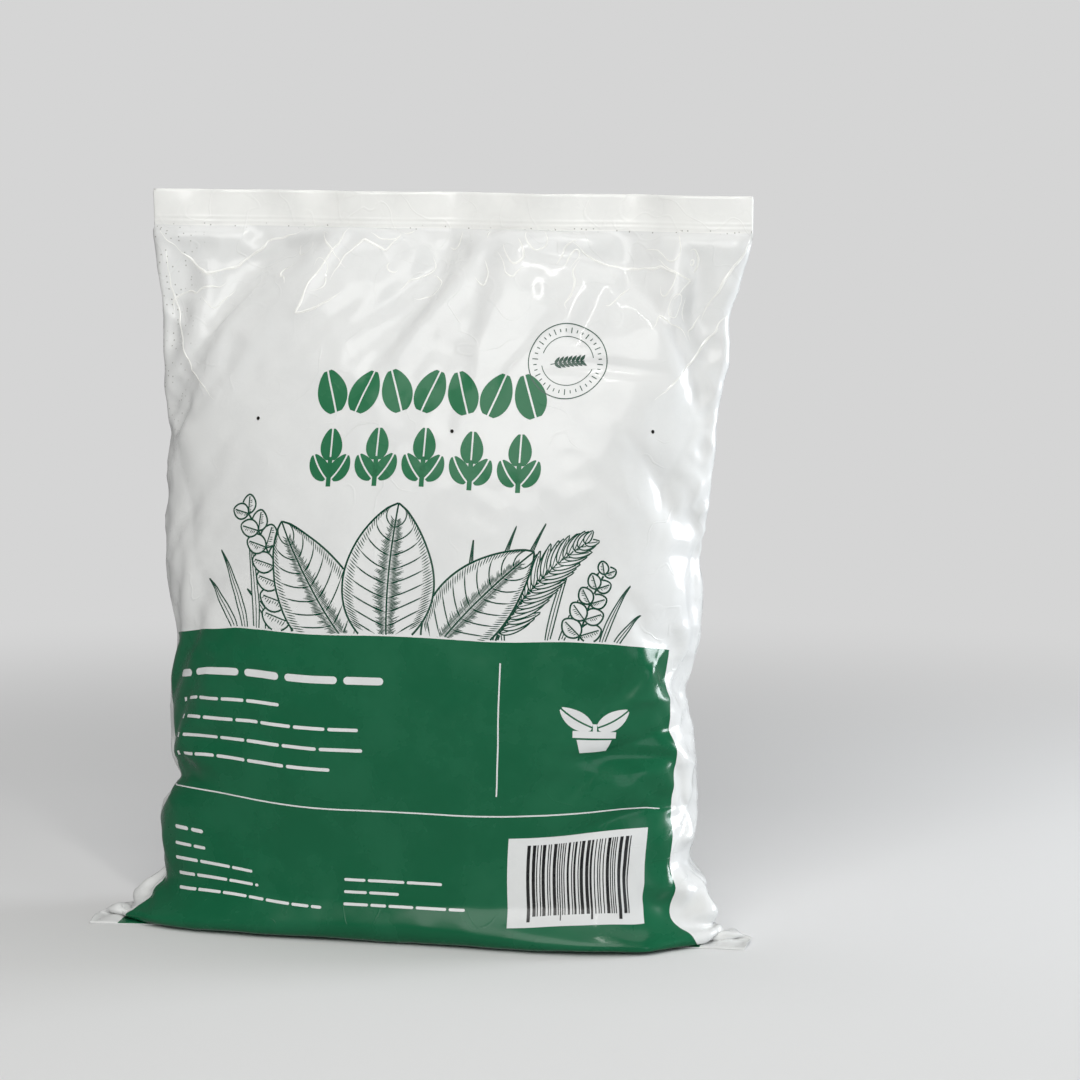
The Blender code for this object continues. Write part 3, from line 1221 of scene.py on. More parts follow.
def resampled(path: Points, step: float) -> Points:
    """The path with points evenly spaced along it.

    Args:
        path: The corners of the path.
        step: The greatest distance between points.

    Returns:
        The new points.
    """
    lengths = path_lengths(path)
    count = max(1, math.ceil(lengths[-1] / step))
    wanted = np.linspace(0, lengths[-1], count + 1)
    return np.stack([np.interp(wanted, lengths, path[:, k]) for k in range(2)], axis=1)


def sideways(path: Points) -> Points:
    """The unit vector to the left of a path at each point.

    Args:
        path: The points.

    Returns:
        The vectors.
    """
    run = np.gradient(path, axis=0)
    run /= np.maximum(np.linalg.norm(run, axis=1, keepdims=True), TINY)
    return np.stack([-run[:, 1], run[:, 0]], axis=1)


@dataclass
class InkSheet:
    """Printed shapes of one ink on the front film, gathered into one piece.

    Shapes are given in flat coordinates in millimetres.
    """

    name: str
    ink: Ink
    surface: FilmSurface
    lift: float = 0.10
    step: float = 1.2
    corners: list[Points] = field(default_factory=list)
    faces: list[tuple[int, ...]] = field(default_factory=list)
    count: int = 0

    def fill(self, left: Points, right: Points) -> None:
        """Fills the area between two edges that have as many points.

        Args:
            left: One edge.
            right: The other edge.
        """
        widest = np.linalg.norm(right - left, axis=1).max()
        columns = max(1, math.ceil(widest / self.step))
        shares = np.arange(columns + 1) / columns
        grid = left[:, None, :] * (1 - shares)[None, :, None] + right[:, None, :] * shares[None, :, None]
        self.corners.append(grid.reshape(-1, 2))
        for j in range(len(left) - 1):
            for i in range(columns):
                a = self.count + j * (columns + 1) + i
                b = a + columns + 1
                self.faces.append((a, a + 1, b + 1, b))
        self.count += grid.shape[0] * grid.shape[1]

    def line(self, path: Points, width: float, taper: float = 0.0) -> None:
        """Draws a line along a path.

        Args:
            path: The corners of the path.
            width: The width of the line.
            taper: The share of the length over which each end thins out.
        """
        even = resampled(path, self.step)
        if len(even) < 2:
            return
        half = np.full(len(even), width / 2)
        if taper > 0:
            share = np.arange(len(even)) / (len(even) - 1)
            half = half * np.clip(np.minimum(share, 1 - share) / taper, 0.25, 1)
        offset = sideways(even) * half[:, None]
        self.fill(even + offset, even - offset)

    def bar(self, u: float, v: float, width: float, height: float) -> None:
        """Fills an upright rectangle whose lower left corner is at u and v."""
        left = resampled(np.array([[u, v], [u, v + height]]), self.step)
        self.fill(left, left + np.array([width, 0.0]))

    def dash(self, u: float, v: float, width: float, height: float) -> None:
        """Fills a level dash with round ends.

        Args:
            u: Its left end.
            v: Its lower edge.
            width: Its width.
            height: Its height.
        """
        radius = height / 2
        angles = np.linspace(0, math.pi / 2, 4)
        run = np.concatenate([
            u + radius - radius * np.cos(angles),
            u + width - radius + radius * np.sin(angles),
        ])
        rise = np.concatenate([radius * np.sin(angles), radius * np.cos(angles)])
        low = resampled_pairs(run, v + radius - rise, v + radius + rise, self.step)
        self.fill(low[0], low[1])

    def ring(self, u: float, v: float, radius: float, width: float,
             start: float = 0, end: float = 360) -> None:
        """Draws a round line.

        Args:
            u: The middle, across.
            v: The middle, up.
            radius: The radius of the line's middle.
            width: The width of the line.
            start: Where the line starts, in degrees.
            end: Where the line ends.
        """
        count = max(8, math.ceil(math.radians(end - start) * radius / self.step))
        angles = np.radians(np.linspace(start, end, count + 1))
        spokes = np.stack([np.cos(angles), np.sin(angles)], axis=1)
        middle = np.array([u, v])
        self.fill(middle + spokes * (radius - width / 2), middle + spokes * (radius + width / 2))

    def build(self, finishes: Finishes) -> bpy.types.Object:
        """Lays the shapes on the film.

        Args:
            finishes: The materials, by name.

        Returns:
            The printed piece.
        """
        flat = np.concatenate(self.corners) * MM
        places = self.surface.at(flat[:, 0], flat[:, 1], self.lift * MM)
        each_corner = flat[np.ravel(self.faces)].ravel()
        finish = finishes[self.ink.value]
        return film_piece(self.name, places.tolist(), self.faces, [finish], flat=each_corner)


def resampled_pairs(run: Points, low: Points, high: Points, step: float) -> tuple[Points, Points]:
    """A lower and an upper edge over the same run, with points no further apart than a step.

    Args:
        run: Places along the run.
        low: The lower edge at each.
        high: The upper edge at each.
        step: The greatest distance between points.

    Returns:
        The two edges.
    """
    wanted = [run[0]]
    for a, b in zip(run, run[1:]):
        pieces = max(1, math.ceil((b - a) / step))
        wanted += [a + (b - a) * k / pieces for k in range(1, pieces + 1)]
    wanted = np.array(wanted)
    return (np.stack([wanted, np.interp(wanted, run, low)], axis=1),
            np.stack([wanted, np.interp(wanted, run, high)], axis=1))


@dataclass(frozen=True)
class Leaf:
    """A leaf in flat coordinates, in millimetres, with angles in degrees from the upright."""

    u: float
    v: float
    length: float
    width: float
    heading: float = 0.0
    bend: float = 0.0
    low_middle: float = 0.8
    bluntness: float = 0.8

    def spine(self, count: int = 24) -> Points:
        """The leaf's middle line.

        Args:
            count: The number of steps.

        Returns:
            Its points from the base to the tip.
        """
        share = (np.arange(count) + 0.5) / count
        angle = np.radians(self.heading + self.bend * share)
        steps = np.stack([np.sin(angle), np.cos(angle)], axis=1) * self.length / count
        return np.array([self.u, self.v]) + np.concatenate([np.zeros((1, 2)), np.cumsum(steps, axis=0)])

    def half_widths(self, count: int = 24) -> Points:
        """Half the leaf's width along its middle line."""
        share = np.arange(count + 1) / count
        return self.width / 2 * np.sin(math.pi * share**self.low_middle) ** self.bluntness

    def edge(self, side: Side, inset: float = 0.0, count: int = 24) -> Points:
        """One edge of the leaf."""
        spine = self.spine(count)
        return spine - side.value * sideways(spine) * (self.half_widths(count) * (1 - inset))[:, None]

    def outline(self) -> Points:
        """The outline of the leaf, up its left edge and down its right one."""
        return np.concatenate([self.edge(Side.LEFT), self.edge(Side.RIGHT)[::-1]])


@dataclass
class LineDrawing:
    """A drawing of plants in fine lines, in which what is in front hides what is behind."""

    sheet: InkSheet
    floor: float
    outline_width: float = 1.05
    vein_width: float = 0.70
    hatch_width: float = 0.50
    step: float = 0.9
    rib_steps: int = 96
    rib_points: int = 7
    rib_start: float = 2.0
    rib_part: float = 0.86
    rib_lead: float = 0.16
    rib_bend: float = 1.4
    rib_taper: float = 0.3
    stem_steps: int = 60
    seed: int = 5
    masks: list[Points] = field(default_factory=list)

    def __post_init__(self) -> None:
        """Sets the seed of the drawing's small irregularities."""
        self.random = random.Random(self.seed)

    def stroke(self, path: Points, width: float, taper: float = 0.0) -> None:
        """Draws what shows of a line.

        Args:
            path: The corners of the line.
            width: Its width.
            taper: The share of the length over which each end thins out.
        """
        even = resampled(path, self.step)
        shown = even[:, 1] > self.floor
        for mask in self.masks:
            low, high = mask.min(axis=0), mask.max(axis=0)
            if (even.max(axis=0) < low).any() or (even.min(axis=0) > high).any():
                continue
            shown &= ~inside(even, mask)
        start = None
        for k, seen in enumerate(list(shown) + [False]):
            if seen and start is None:
                start = k
            if not seen and start is not None:
                if k - start > 1:
                    self.sheet.line(even[start:k], width, taper)
                start = None

    def around(self, leaf: Leaf, width: float) -> None:
        """Draws the outline of a leaf."""
        outline = leaf.outline()
        self.stroke(np.concatenate([outline, outline[:1]]), width)

    def broad_leaf(self, leaf: Leaf, veins: int = 8, hatches: int = 70) -> None:
        """Draws a broad leaf with its veins and hatched shade.

        Args:
            leaf: The leaf.
            veins: The number of side veins on each side.
            hatches: The number of shade strokes on each side.
        """
        self.around(leaf, self.outline_width)
        self.stroke(leaf.spine(), self.vein_width * 1.3)
        for side in Side:
            self.ribs(leaf, side, veins, 0.0, 0.90, self.vein_width)
            self.ribs(leaf, side, hatches, 0.0, 0.34, self.hatch_width, jitter=0.5)
            self.ribs(leaf, side, hatches // 2, 0.74, 1.0, self.hatch_width, jitter=0.3)
        self.masks.append(leaf.outline())

    def ribs(self, leaf: Leaf, side: Side, count: int, start: float, end: float,
             width: float, jitter: float = 0.0) -> None:
        """Draws strokes that run out from the middle line and forward.

        Args:
            leaf: The leaf.
            side: The side of the leaf.
            count: The number of strokes.
            start: Where they start, as a share of the half width.
            end: Where they end.
            width: The width of a stroke.
            jitter: How much their ends differ, as a share of their length.
        """
        steps = self.rib_steps
        spine = leaf.spine(steps)
        out = -side.value * sideways(spine) * leaf.half_widths(steps)[:, None]
        for k in range(count):
            base = (k + 0.5) / count * self.rib_part * steps + self.rib_start
            last = end - (end - start) * jitter * self.random.random()
            first = start + (end - start) * jitter * 0.3 * self.random.random()
            shares = np.linspace(first, last, self.rib_points)
            at = np.clip(base + self.rib_lead * steps * shares**self.rib_bend, 0, steps)
            column = at.astype(int).clip(0, steps - 1)
            blend = (at - column)[:, None]
            root = spine[column] * (1 - blend) + spine[column + 1] * blend
            reach = out[column] * (1 - blend) + out[column + 1] * blend
            self.stroke(root + reach * shares[:, None], width, self.rib_taper)

    def frond(self, stem: Leaf, leaflets: int, leaflet_length: float, leaflet_width: float) -> None:
        """Draws a feathery frond.

        Args:
            stem: The stem, as a leaf whose width isn't used.
            leaflets: The number of leaflets on each side.
            leaflet_length: The length of the longest leaflet.
            leaflet_width: The width of a leaflet.
        """
        spine = stem.spine(self.stem_steps)
        for k in range(leaflets, 0, -1):
            share = 0.12 + 0.84 * k / leaflets
            at = spine[round(share * self.stem_steps)]
            heading = stem.heading + stem.bend * share
            length = leaflet_length * math.sin(math.pi * (0.18 + 0.76 * share)) ** 0.7
            for side in Side:
                angle = heading + side.value * (52 - 22 * share) + self.random.uniform(-4, 4)
                small = Leaf(at[0], at[1], length, leaflet_width, angle, -side.value * 16, 0.7)
                self.around(small, self.vein_width)
                self.stroke(small.spine()[:-4], self.hatch_width)
                self.masks.append(small.outline())
        self.stroke(spine, self.outline_width)

    def branch(self, stem: Leaf, pairs: int, size: float) -> None:
        """Draws a branch with round leaves in pairs.

        Args:
            stem: The branch, as a leaf whose width isn't used.
            pairs: The number of pairs.
            size: The size of the lowest leaves.
        """
        spine = stem.spine(self.stem_steps)
        for k in range(pairs, 0, -1):
            share = k / pairs
            at = spine[round(share * self.stem_steps)]
            heading = stem.heading + stem.bend * share
            length = size * (1.1 - 0.5 * share)
            for side in Side:
                angle = heading + side.value * (64 - 26 * share)
                small = Leaf(at[0], at[1], length, 0.82 * length, angle, 0, 0.9, 0.62)
                self.around(small, self.outline_width * 0.9)
                self.stroke(small.spine()[:-3], self.vein_width)
                self.ribs(small, side, 9, 0.05, 0.6, self.hatch_width, jitter=0.5)
                self.masks.append(small.outline())
        self.stroke(spine, self.outline_width)

    def blade(self, leaf: Leaf) -> None:
        """Draws a blade of grass.

        Args:
            leaf: The blade.
        """
        self.around(leaf, self.vein_width)
        self.stroke(leaf.spine()[:-2], self.hatch_width)
        self.masks.append(leaf.outline())


def inside(points: Points, polygon: Points) -> Points:
    """Whether each point is inside a polygon.

    Args:
        points: The points.
        polygon: The corners of the polygon.

    Returns:
        A truth value for each point.
    """
    x, y = points[:, 0][:, None], points[:, 1][:, None]
    ax, ay = polygon[:, 0][None], polygon[:, 1][None]
    bx, by = np.roll(polygon[:, 0], -1)[None], np.roll(polygon[:, 1], -1)[None]
    spans = (ay > y) != (by > y)
    rise = np.where(by == ay, TINY, by - ay)
    crossing = ax + (y - ay) / rise * (bx - ax)
    return (spans & (x < crossing)).sum(axis=1) % 2 == 1


@dataclass
class PrintedFront:
    """What is printed on the front film, in flat coordinates in millimetres.

    Dark green ink is on the white film above the panel, white and black ink on the green panel.
    """

    surface: FilmSurface
    panel_top: float = 201.5
    middle: float = 5.5
    rule_v: float = 109.3
    rule_left: float = -153.0
    rule_right: float = 143.0
    rule_width: float = 0.8
    divider_u: float = 52.3
    divider_low: float = 120.0
    divider_high: float = 190.0
    heading_v: float = 174.5
    heading_left: float = -141.0
    text_left: float = -137.0
    ring_u: float = 77.5
    ring_v: float = 347.3
    ring_radius: float = 20.3
    patch_left: float = 60.5
    patch_low: float = 51.5
    patch_width: float = 75.0
    patch_height: float = 46.0
    bar_module: float = 0.60
    seed: int = 11

    def build(self, finishes: Finishes) -> list[bpy.types.Object]:
        """Makes every printed piece.

        Args:
            finishes: The materials, by name.

        Returns:
            The pieces.
        """
        sheets = (self.leaf_rows(), self.round_mark(), self.plants(), self.panel_lines(), self.dash_rows(),
                  self.pot_sign(), self.bar_patch(), self.bars())
        return [sheet.build(finishes) for sheet in sheets]

    def leaf_tile(self, sheet: InkSheet, leaf: Leaf, gap: float) -> None:
        """A solid leaf with its middle vein left bare.

        Args:
            sheet: The ink.
            leaf: The leaf.
            gap: The width of the bare vein.
        """
        count = 24
        spine = leaf.spine(count)
        across = sideways(spine) * gap / 2
        for side in Side:
            inner = spine - side.value * across
            outer = leaf.edge(side, count=count)
            wide_enough = leaf.half_widths(count) > gap / 2
            if side is Side.LEFT:
                sheet.fill(outer[wide_enough], inner[wide_enough])
            else:
                sheet.fill(inner[wide_enough], outer[wide_enough])

    def leaf_rows(self) -> InkSheet:
        """Two rows of solid leaves, which head the front.

        Returns:
            The sheet of ink.
        """
        sheet = InkSheet("print_leaf_rows", Ink.GREEN, self.surface)
        for k in range(7):
            u = self.middle - 54.6 + 18.2 * k
            lean = 20 if k % 2 else -20
            self.leaf_tile(sheet, Leaf(u - lean * 0.20, 316.0, 25.0, 16.5, lean, 0, 0.85, 0.60), 1.0)
        for k in range(5):
            u = self.middle - 51.5 + 25.75 * k
            self.sprout(sheet, u, 278.0, 31.0)
        return sheet

    def sprout(self, sheet: InkSheet, u: float, v: float, height: float) -> None:
        """A bold sprout: a stem with a pair of leaves and one on top.

        Args:
            sheet: The ink.
            u: Its middle.
            v: Its foot.
            height: Its height.
        """
        sheet.line(np.array([[u, v], [u, v + 0.5 * height]]), 2.6)
        for side in Side:
            leaf = Leaf(u + side.value * 1.0, v + 0.12 * height, 0.52 * height, 0.34 * height,
                        side.value * 46, -side.value * 26, 0.85, 0.62)
            self.leaf_tile(sheet, leaf, 0.9)
        self.leaf_tile(sheet, Leaf(u, v + 0.42 * height, 0.58 * height, 0.40 * height, 0, 0, 0.8, 0.62), 0.9)

    def round_mark(self) -> InkSheet:
        """A round mark of plain rings, ticks and a leaf twig.

        Returns:
            The sheet of ink.
        """
        sheet = InkSheet("print_round_mark", Ink.DARK, self.surface, 0.13)
        u, v, radius = self.ring_u, self.ring_v, self.ring_radius
        sheet.ring(u, v, radius, 0.55)
        for start in (14, 194):
            sheet.ring(u, v, 0.66 * radius, 0.42, start, start + 152)
        for k in range(36):
            angle = math.radians(10 * k)
            middle = np.array([u, v]) + 0.83 * radius * np.array([math.cos(angle), math.sin(angle)])
            length = 1.7 if k % 3 else 3.0
            run = np.array([math.cos(angle), math.sin(angle)]) * length / 2
            sheet.line(np.array([middle - run, middle + run]), 0.5)
        stem = Leaf(u - 8.6, v - 2.2, 17.6, 1, 76, 6)
        sheet.line(stem.spine(), 0.45)
        spine = stem.spine()
        for k in range(3, 22, 3):
            for side in Side:
                small = Leaf(spine[k][0], spine[k][1], 4.4, 1.7, 76 + side.value * 46, 0, 0.8, 0.8)
                sheet.fill(small.edge(Side.LEFT, count=6), small.edge(Side.RIGHT, count=6))
        return sheet

    def plants(self) -> InkSheet:
        """A line drawing of mixed plants that grow up from behind the panel.

        Returns:
            The sheet of ink.
        """
        sheet = InkSheet("print_plants", Ink.DARK, self.surface)
        drawing = LineDrawing(sheet, self.panel_top)
        base = self.panel_top - 6
        middle = self.middle
        drawing.broad_leaf(Leaf(middle - 14, base - 2, 76, 50, -4, 12, 0.85, 0.70), 9, 90)
        drawing.broad_leaf(Leaf(middle - 30, base - 6, 84, 42, -42, 16, 0.85, 0.72), 9, 90)
        drawing.broad_leaf(Leaf(middle + 8, base - 6, 80, 38, 34, 18, 0.85, 0.72), 9, 90)
        drawing.branch(Leaf(middle - 66, base, 74, 1, -12, -26), 7, 17)
        drawing.branch(Leaf(middle + 86, base, 44, 1, 8, 20), 5, 12)
        drawing.frond(Leaf(middle + 40, base - 2, 80, 1, 24, 32), 20, 20, 3.8)
        drawing.frond(Leaf(middle - 44, base - 2, 60, 1, -30, -28), 14, 15, 3.4)
        for k, (u, length, heading, bend) in enumerate((
                (-100, 40, -24, -20), (-94, 52, -14, -18), (-88, 60, -4, -10), (-82, 44, 4, 14),
                (-76, 34, -22, -30), (30, 58, -4, 8), (36, 68, 8, 12), (42, 72, 16, 10), (48, 50, -6, -12),
                (70, 60, 8, 14), (76, 48, 18, 16), (98, 42, 12, 24), (104, 30, 24, 30))):
            drawing.blade(Leaf(middle + u, base, length, 4.2 - 0.1 * k, heading, bend, 0.6, 0.9))
        return sheet

    def panel_lines(self) -> InkSheet:
        """The rule across the panel and the divider in its upper part.

        Returns:
            The sheet of ink.
        """
        sheet = InkSheet("print_panel_lines", Ink.WHITE, self.surface)
        rule = [[self.rule_left, self.rule_v], [self.rule_right, self.rule_v]]
        divider = [[self.divider_u, self.divider_low], [self.divider_u, self.divider_high]]
        for ends in (rule, divider):
            sheet.line(np.array(ends), self.rule_width)
        return sheet

    def dashes(self, sheet: InkSheet, u: float, v: float, lengths: tuple[float, ...], height: float) -> None:
        """A row of plain dashes.

        Args:
            sheet: The ink.
            u: Where the row starts.
            v: Its foot.
            lengths: The length of each dash.
            height: The height of the dashes.
        """
        for length in lengths:
            sheet.dash(u, v, length, height)
            u += length + 0.9 * height

    def dash_rows(self) -> InkSheet:
        """Rows of plain dashes on the panel, the upper ones with small square bullets.

        Returns:
            The sheet of ink.
        """
        sheet = InkSheet("print_dashes", Ink.WHITE, self.surface)
        left = self.text_left
        self.dashes(sheet, self.heading_left, self.heading_v + 0.8, (13, 31, 21, 30, 22), 4.0)
        lists = ((9, 14, 15, 20), (13, 20, 14, 18, 18, 17), (24, 16, 20, 20, 24), (8, 13, 18, 22, 25))
        for k, lengths in enumerate(lists):
            v = self.heading_v - 13.4 - 10.7 * k
            sheet.bar(left - 0.6, v - 0.3, 2.4, 2.6)
            self.dashes(sheet, left + 6.0, v + 0.2, lengths, 1.8)
        low = self.rule_v - 25.0
        self.dashes(sheet, left + 2.0, low, (9, 7), 2.0)
        notes = ((11, 7), (15, 18, 13), (12, 20, 15, 2), (13, 16, 15, 9, 14, 10, 6))
        for k, lengths in enumerate(notes):
            self.dashes(sheet, left + 2.0, low - 8.0 - 6.7 * k, lengths, 1.5)
        for k, lengths in enumerate(((12, 21, 20), (13, 17), (14, 9, 14, 17, 9))):
            self.dashes(sheet, left + 105.5, low - 12.6 - 6.4 * k, lengths, 1.5)
        return sheet

    def pot_sign(self) -> InkSheet:
        """A bold plain sign of a plant pot with a sprout.

        Returns:
            The sheet of ink.
        """
        sheet = InkSheet("print_pot_sign", Ink.WHITE, self.surface)
        u, v = self.divider_u + 51.0, self.rule_v + 33.0
        left = resampled(np.array([[u - 7.4, v], [u - 9.6, v + 7.6]]), sheet.step)
        sheet.fill(left, np.stack([2 * u - left[:, 0], left[:, 1]], axis=1))
        sheet.bar(u - 11.8, v + 8.6, 23.6, 3.6)
        sheet.line(np.array([[u, v + 12.0], [u, v + 16.0]]), 2.2)
        for side in Side:
            lean, bend = side.value * 72, -side.value * 24
            leaf = Leaf(u + side.value * 0.8, v + 14.0, 21.0, 9.6, lean, bend, 0.85, 0.7)
            self.leaf_tile(sheet, leaf, 0.9)
        return sheet

    def bar_patch(self) -> InkSheet:
        """The white patch under the bars.

        Returns:
            The sheet of ink.
        """
        sheet = InkSheet("print_bar_patch", Ink.WHITE, self.surface, 0.08)
        sheet.bar(self.patch_left, self.patch_low, self.patch_width, self.patch_height)
        return sheet

    def bars(self) -> InkSheet:
        """Plain upright bars of mixed widths, which stand for no number.

        Returns:
            The sheet of ink.
        """
        sheet = InkSheet("print_bars", Ink.BLACK, self.surface, 0.14)
        chance = random.Random(self.seed)
        u = self.patch_left + 10.5
        last = self.patch_left + self.patch_width - 7.0
        low, high = self.patch_low + 5.0, self.patch_low + self.patch_height - 4.0
        number = 0
        while u < last:
            width = chance.choice((1, 1, 2, 3)) * self.bar_module
            long_bar = number % 9 == 0
            sheet.bar(u, low - (2.5 if long_bar else 0.0), width, high - low + (2.5 if long_bar else 0.0))
            u += width + chance.choice((1, 1, 2, 2)) * self.bar_module
            number += 1
        return sheet


@dataclass
class CreaseRidges:
    """The creases' sharp crests, as fine ridges that lie on the front film, in a brighter colour: a painted
    highlight.
    """

    surface: FilmSurface
    relief: FilmRelief
    profile: Pairs = ((-1.0, 0.0), (-0.45, 0.42), (0.0, 1.0), (0.45, 0.42), (1.0, 0.0))
    step: float = 0.8
    width: float = 1.8
    height: float = 0.42
    lift: float = 0.02
    blunt_end: float = 0.02
    fullness: float = 0.6
    boldness: float = 0.75
    fading: float = 0.6
    fading_length: float = 9.0
    fading_seed: float = 7.0
    waver: float = 1.1
    waver_length: float = 7.0
    small_count: int = 34
    small_steps: tuple[int, int] = (10, 40)
    small_least: int = 6
    small_sides: Span = (-164, 166)
    small_heights: Span = (366, 421)
    small_crowding: float = 1.5
    small_boldness: Span = (0.5, 0.95)
    side_limit: float = 168
    top_room: float = 1.5
    gather_size: float = 15.0
    gather_stretch: float = 0.8
    gather_seed: float = 150.0
    seed: int = 3

    def build(self, finishes: Finishes) -> bpy.types.Object:
        """Makes the ridges.

        Args:
            finishes: The materials, by name.

        Returns:
            The piece.
        """
        corners, faces = [], []
        crested = [crease for crease in self.relief.creases if crease.crested]
        paths = [(np.array(crease.path, dtype=float), 1.0) for crease in crested]
        for path, size in paths + self.small_paths():
            line = self.wavering(resampled(path, self.step))
            share = np.clip(np.linspace(0, 1, len(line)), self.blunt_end, 1 - self.blunt_end)
            places = [Vector((*point, self.fading_seed)) / self.fading_length for point in line]
            soft = np.array([noise.noise(place) for place in places])
            taper = np.sin(math.pi * share) ** self.fullness * size * (self.boldness + self.fading * soft)
            side = sideways(line)
            first = len(corners)
            for across, rise in self.profile:
                place = (line + side * (across * self.width / 2 * taper)[:, None]) * MM
                lifts = (self.lift + self.height * rise * taper) * MM
                corners += self.surface.at(place[:, 0], place[:, 1], lifts[:, None]).tolist()
            count = len(line)
            for row in range(len(self.profile) - 1):
                for k in range(count - 1):
                    a = first + row * count + k
                    faces.append((a, a + count, a + count + 1, a + 1))
        # The ridges take the brighter crease finish, a painted highlight along each crest.
        return film_piece("film_creases", corners, faces, [finishes["crease_highlight_film"]])

    def small_paths(self) -> list[tuple[Points, float]]:
        """Winding creases in the gathered film under the seal line, along the contours of smooth noise.

        Returns:
            Their corners in millimetres, and how bold each is.
        """
        chance = random.Random(self.seed)
        low, high = self.small_heights
        paths = []
        for _ in range(self.small_count):
            across = chance.uniform(*self.small_sides)
            place = np.array([across, high - (high - low) * chance.random() ** self.small_crowding])
            level = self.gathers(place)[0]
            corners = [place]
            for _ in range(chance.randint(*self.small_steps)):
                slope = self.gathers(place)[1]
                place = place + np.array([-slope[1], slope[0]]) / max(float(np.hypot(*slope)), 1e-6)
                reached, slope = self.gathers(place)
                place = place - slope * (reached - level) / max(float(slope @ slope), 1e-4)
                if not (abs(place[0]) < self.side_limit and low < place[1] < high + self.top_room):
                    break
                corners.append(place)
            if len(corners) >= self.small_least:
                paths.append((np.array(corners), chance.uniform(*self.small_boldness)))
        return paths

    def gathers(self, place: Points) -> tuple[float, Points]:
        """Smooth noise at a place, and how it changes there.

        Args:
            place: The place in millimetres.

        Returns:
            The value, and its change across and up for each millimetre.
        """

        def value(u: float, v: float) -> float:
            """The noise at a place."""
            return noise.noise(Vector((u, v * self.gather_stretch, self.gather_seed)) / self.gather_size)

        here = value(*place)
        nudge = 0.1
        right = value(place[0] + nudge, place[1])
        above = value(place[0], place[1] + nudge)
        return here, np.array([right - here, above - here]) / nudge

    def wavering(self, line: Points) -> Points:
        """A line that wavers a little, as a crease in film does, and the same on each run.

        Args:
            line: The points.

        Returns:
            The moved points.
        """
        noise.seed_set(self.seed)
        shift = np.array([
            noise.noise_vector(Vector((*point, self.seed)) / self.waver_length)[:2] for point in line
        ])
        return line + shift * self.waver


@dataclass
class VentHoles:
    """Small punched holes in the front film, each with a raised rim and a near-black inside: compost and
    painted shade.
    """

    surface: FilmSurface
    places: Pairs = ((-0.0911, 0.3124), (0.0197, 0.3075), (0.1275, 0.3150))
    radius: float = 0.0010
    rim_width: float = 0.0004
    rim_foot: float = 0.00002
    rim_height: float = 0.00025
    edge_height: float = 0.00012
    disc_height: float = 0.00010
    segments: int = 20

    def build(self, finishes: Finishes) -> bpy.types.Object:
        """Makes the holes.

        Args:
            finishes: The materials, by name.

        Returns:
            The piece.
        """
        profile = ((self.radius + self.rim_width, self.rim_foot),
                   (self.radius + self.rim_width / 2, self.rim_height),
                   (self.radius, self.edge_height), (self.radius / 2, self.disc_height))
        angles = np.arange(self.segments) / self.segments * 2 * math.pi
        corners, faces, dark = [], [], []
        for u, v in self.places:
            first = len(corners)
            for radius, lift in profile:
                ring = self.surface.at(u + radius * np.cos(angles), v + radius * np.sin(angles), lift)
                corners += ring.tolist()
            for row in range(len(profile) - 1):
                for i in range(self.segments):
                    k = (i + 1) % self.segments
                    a = first + row * self.segments
                    faces.append((a + i, a + k, a + self.segments + k, a + self.segments + i))
                    # The hole's inner wall and its disc take the near-black finish: compost seen through the
                    # hole, darkened as painted shade of its depth.
                    dark.append(row == len(profile) - 2)
            last = first + (len(profile) - 1) * self.segments
            faces.append(tuple(range(last, last + self.segments)))
            dark.append(True)
        return film_piece("vent_holes", corners, faces, [finishes["white_film"], finishes["hole_compost_and_shade"]],
                          dark)


@dataclass(frozen=True)
class NodeSheet:
    """A node tree, with short ways to place nodes in it and wire them."""

    tree: bpy.types.NodeTree

    def add(self, kind: str, settings: dict | None = None, **inputs: object) -> bpy.types.Node:
        """Adds a node.

        Args:
            kind: The node's type.
            settings: Values of the node's own properties.
            **inputs: Values or sockets for its inputs, by name with _ for a space, or by number after in_.

        Returns:
            The node.
        """
        node = self.tree.nodes.new(kind)
        for name, value in (settings or {}).items():
            setattr(node, name, value)
        for name, value in inputs.items():
            key = int(name[3:]) if name.startswith("in_") else name.replace("_", " ")
            socket = node.inputs[key]
            if isinstance(value, Socket):
                self.tree.links.new(value, socket)
            else:
                socket.default_value = value
        return node

    def math(self, operation: str, first: object, second: object = 0.0) -> Socket:
        """Adds a math node."""
        return self.add("ShaderNodeMath", {"operation": operation}, in_0=first, in_1=second).outputs[0]

    def noise(self, place: Socket, size: float, detail: float, roughness: float = 0.5) -> bpy.types.Node:
        """Adds flat noise."""
        return self.add("ShaderNodeTexNoise", {"noise_dimensions": "2D"}, Vector=place, Scale=1 / size,
                        Detail=detail, Roughness=roughness)

    def ramp(self, value: object, low: float, high: float, to_low: float = 0.0,
             to_high: float = 1.0) -> Socket:
        """Adds a smooth change from one value to another.

        Args:
            value: The socket that drives it.
            low: Where the change starts.
            high: Where it ends.
            to_low: The value before it.
            to_high: The value after it.

        Returns:
            Its output.
        """
        node = self.add("ShaderNodeMapRange", {"interpolation_type": "SMOOTHSTEP"}, Value=value,
                        From_Min=low, From_Max=high, To_Min=to_low, To_Max=to_high)
        return node.outputs["Result"]


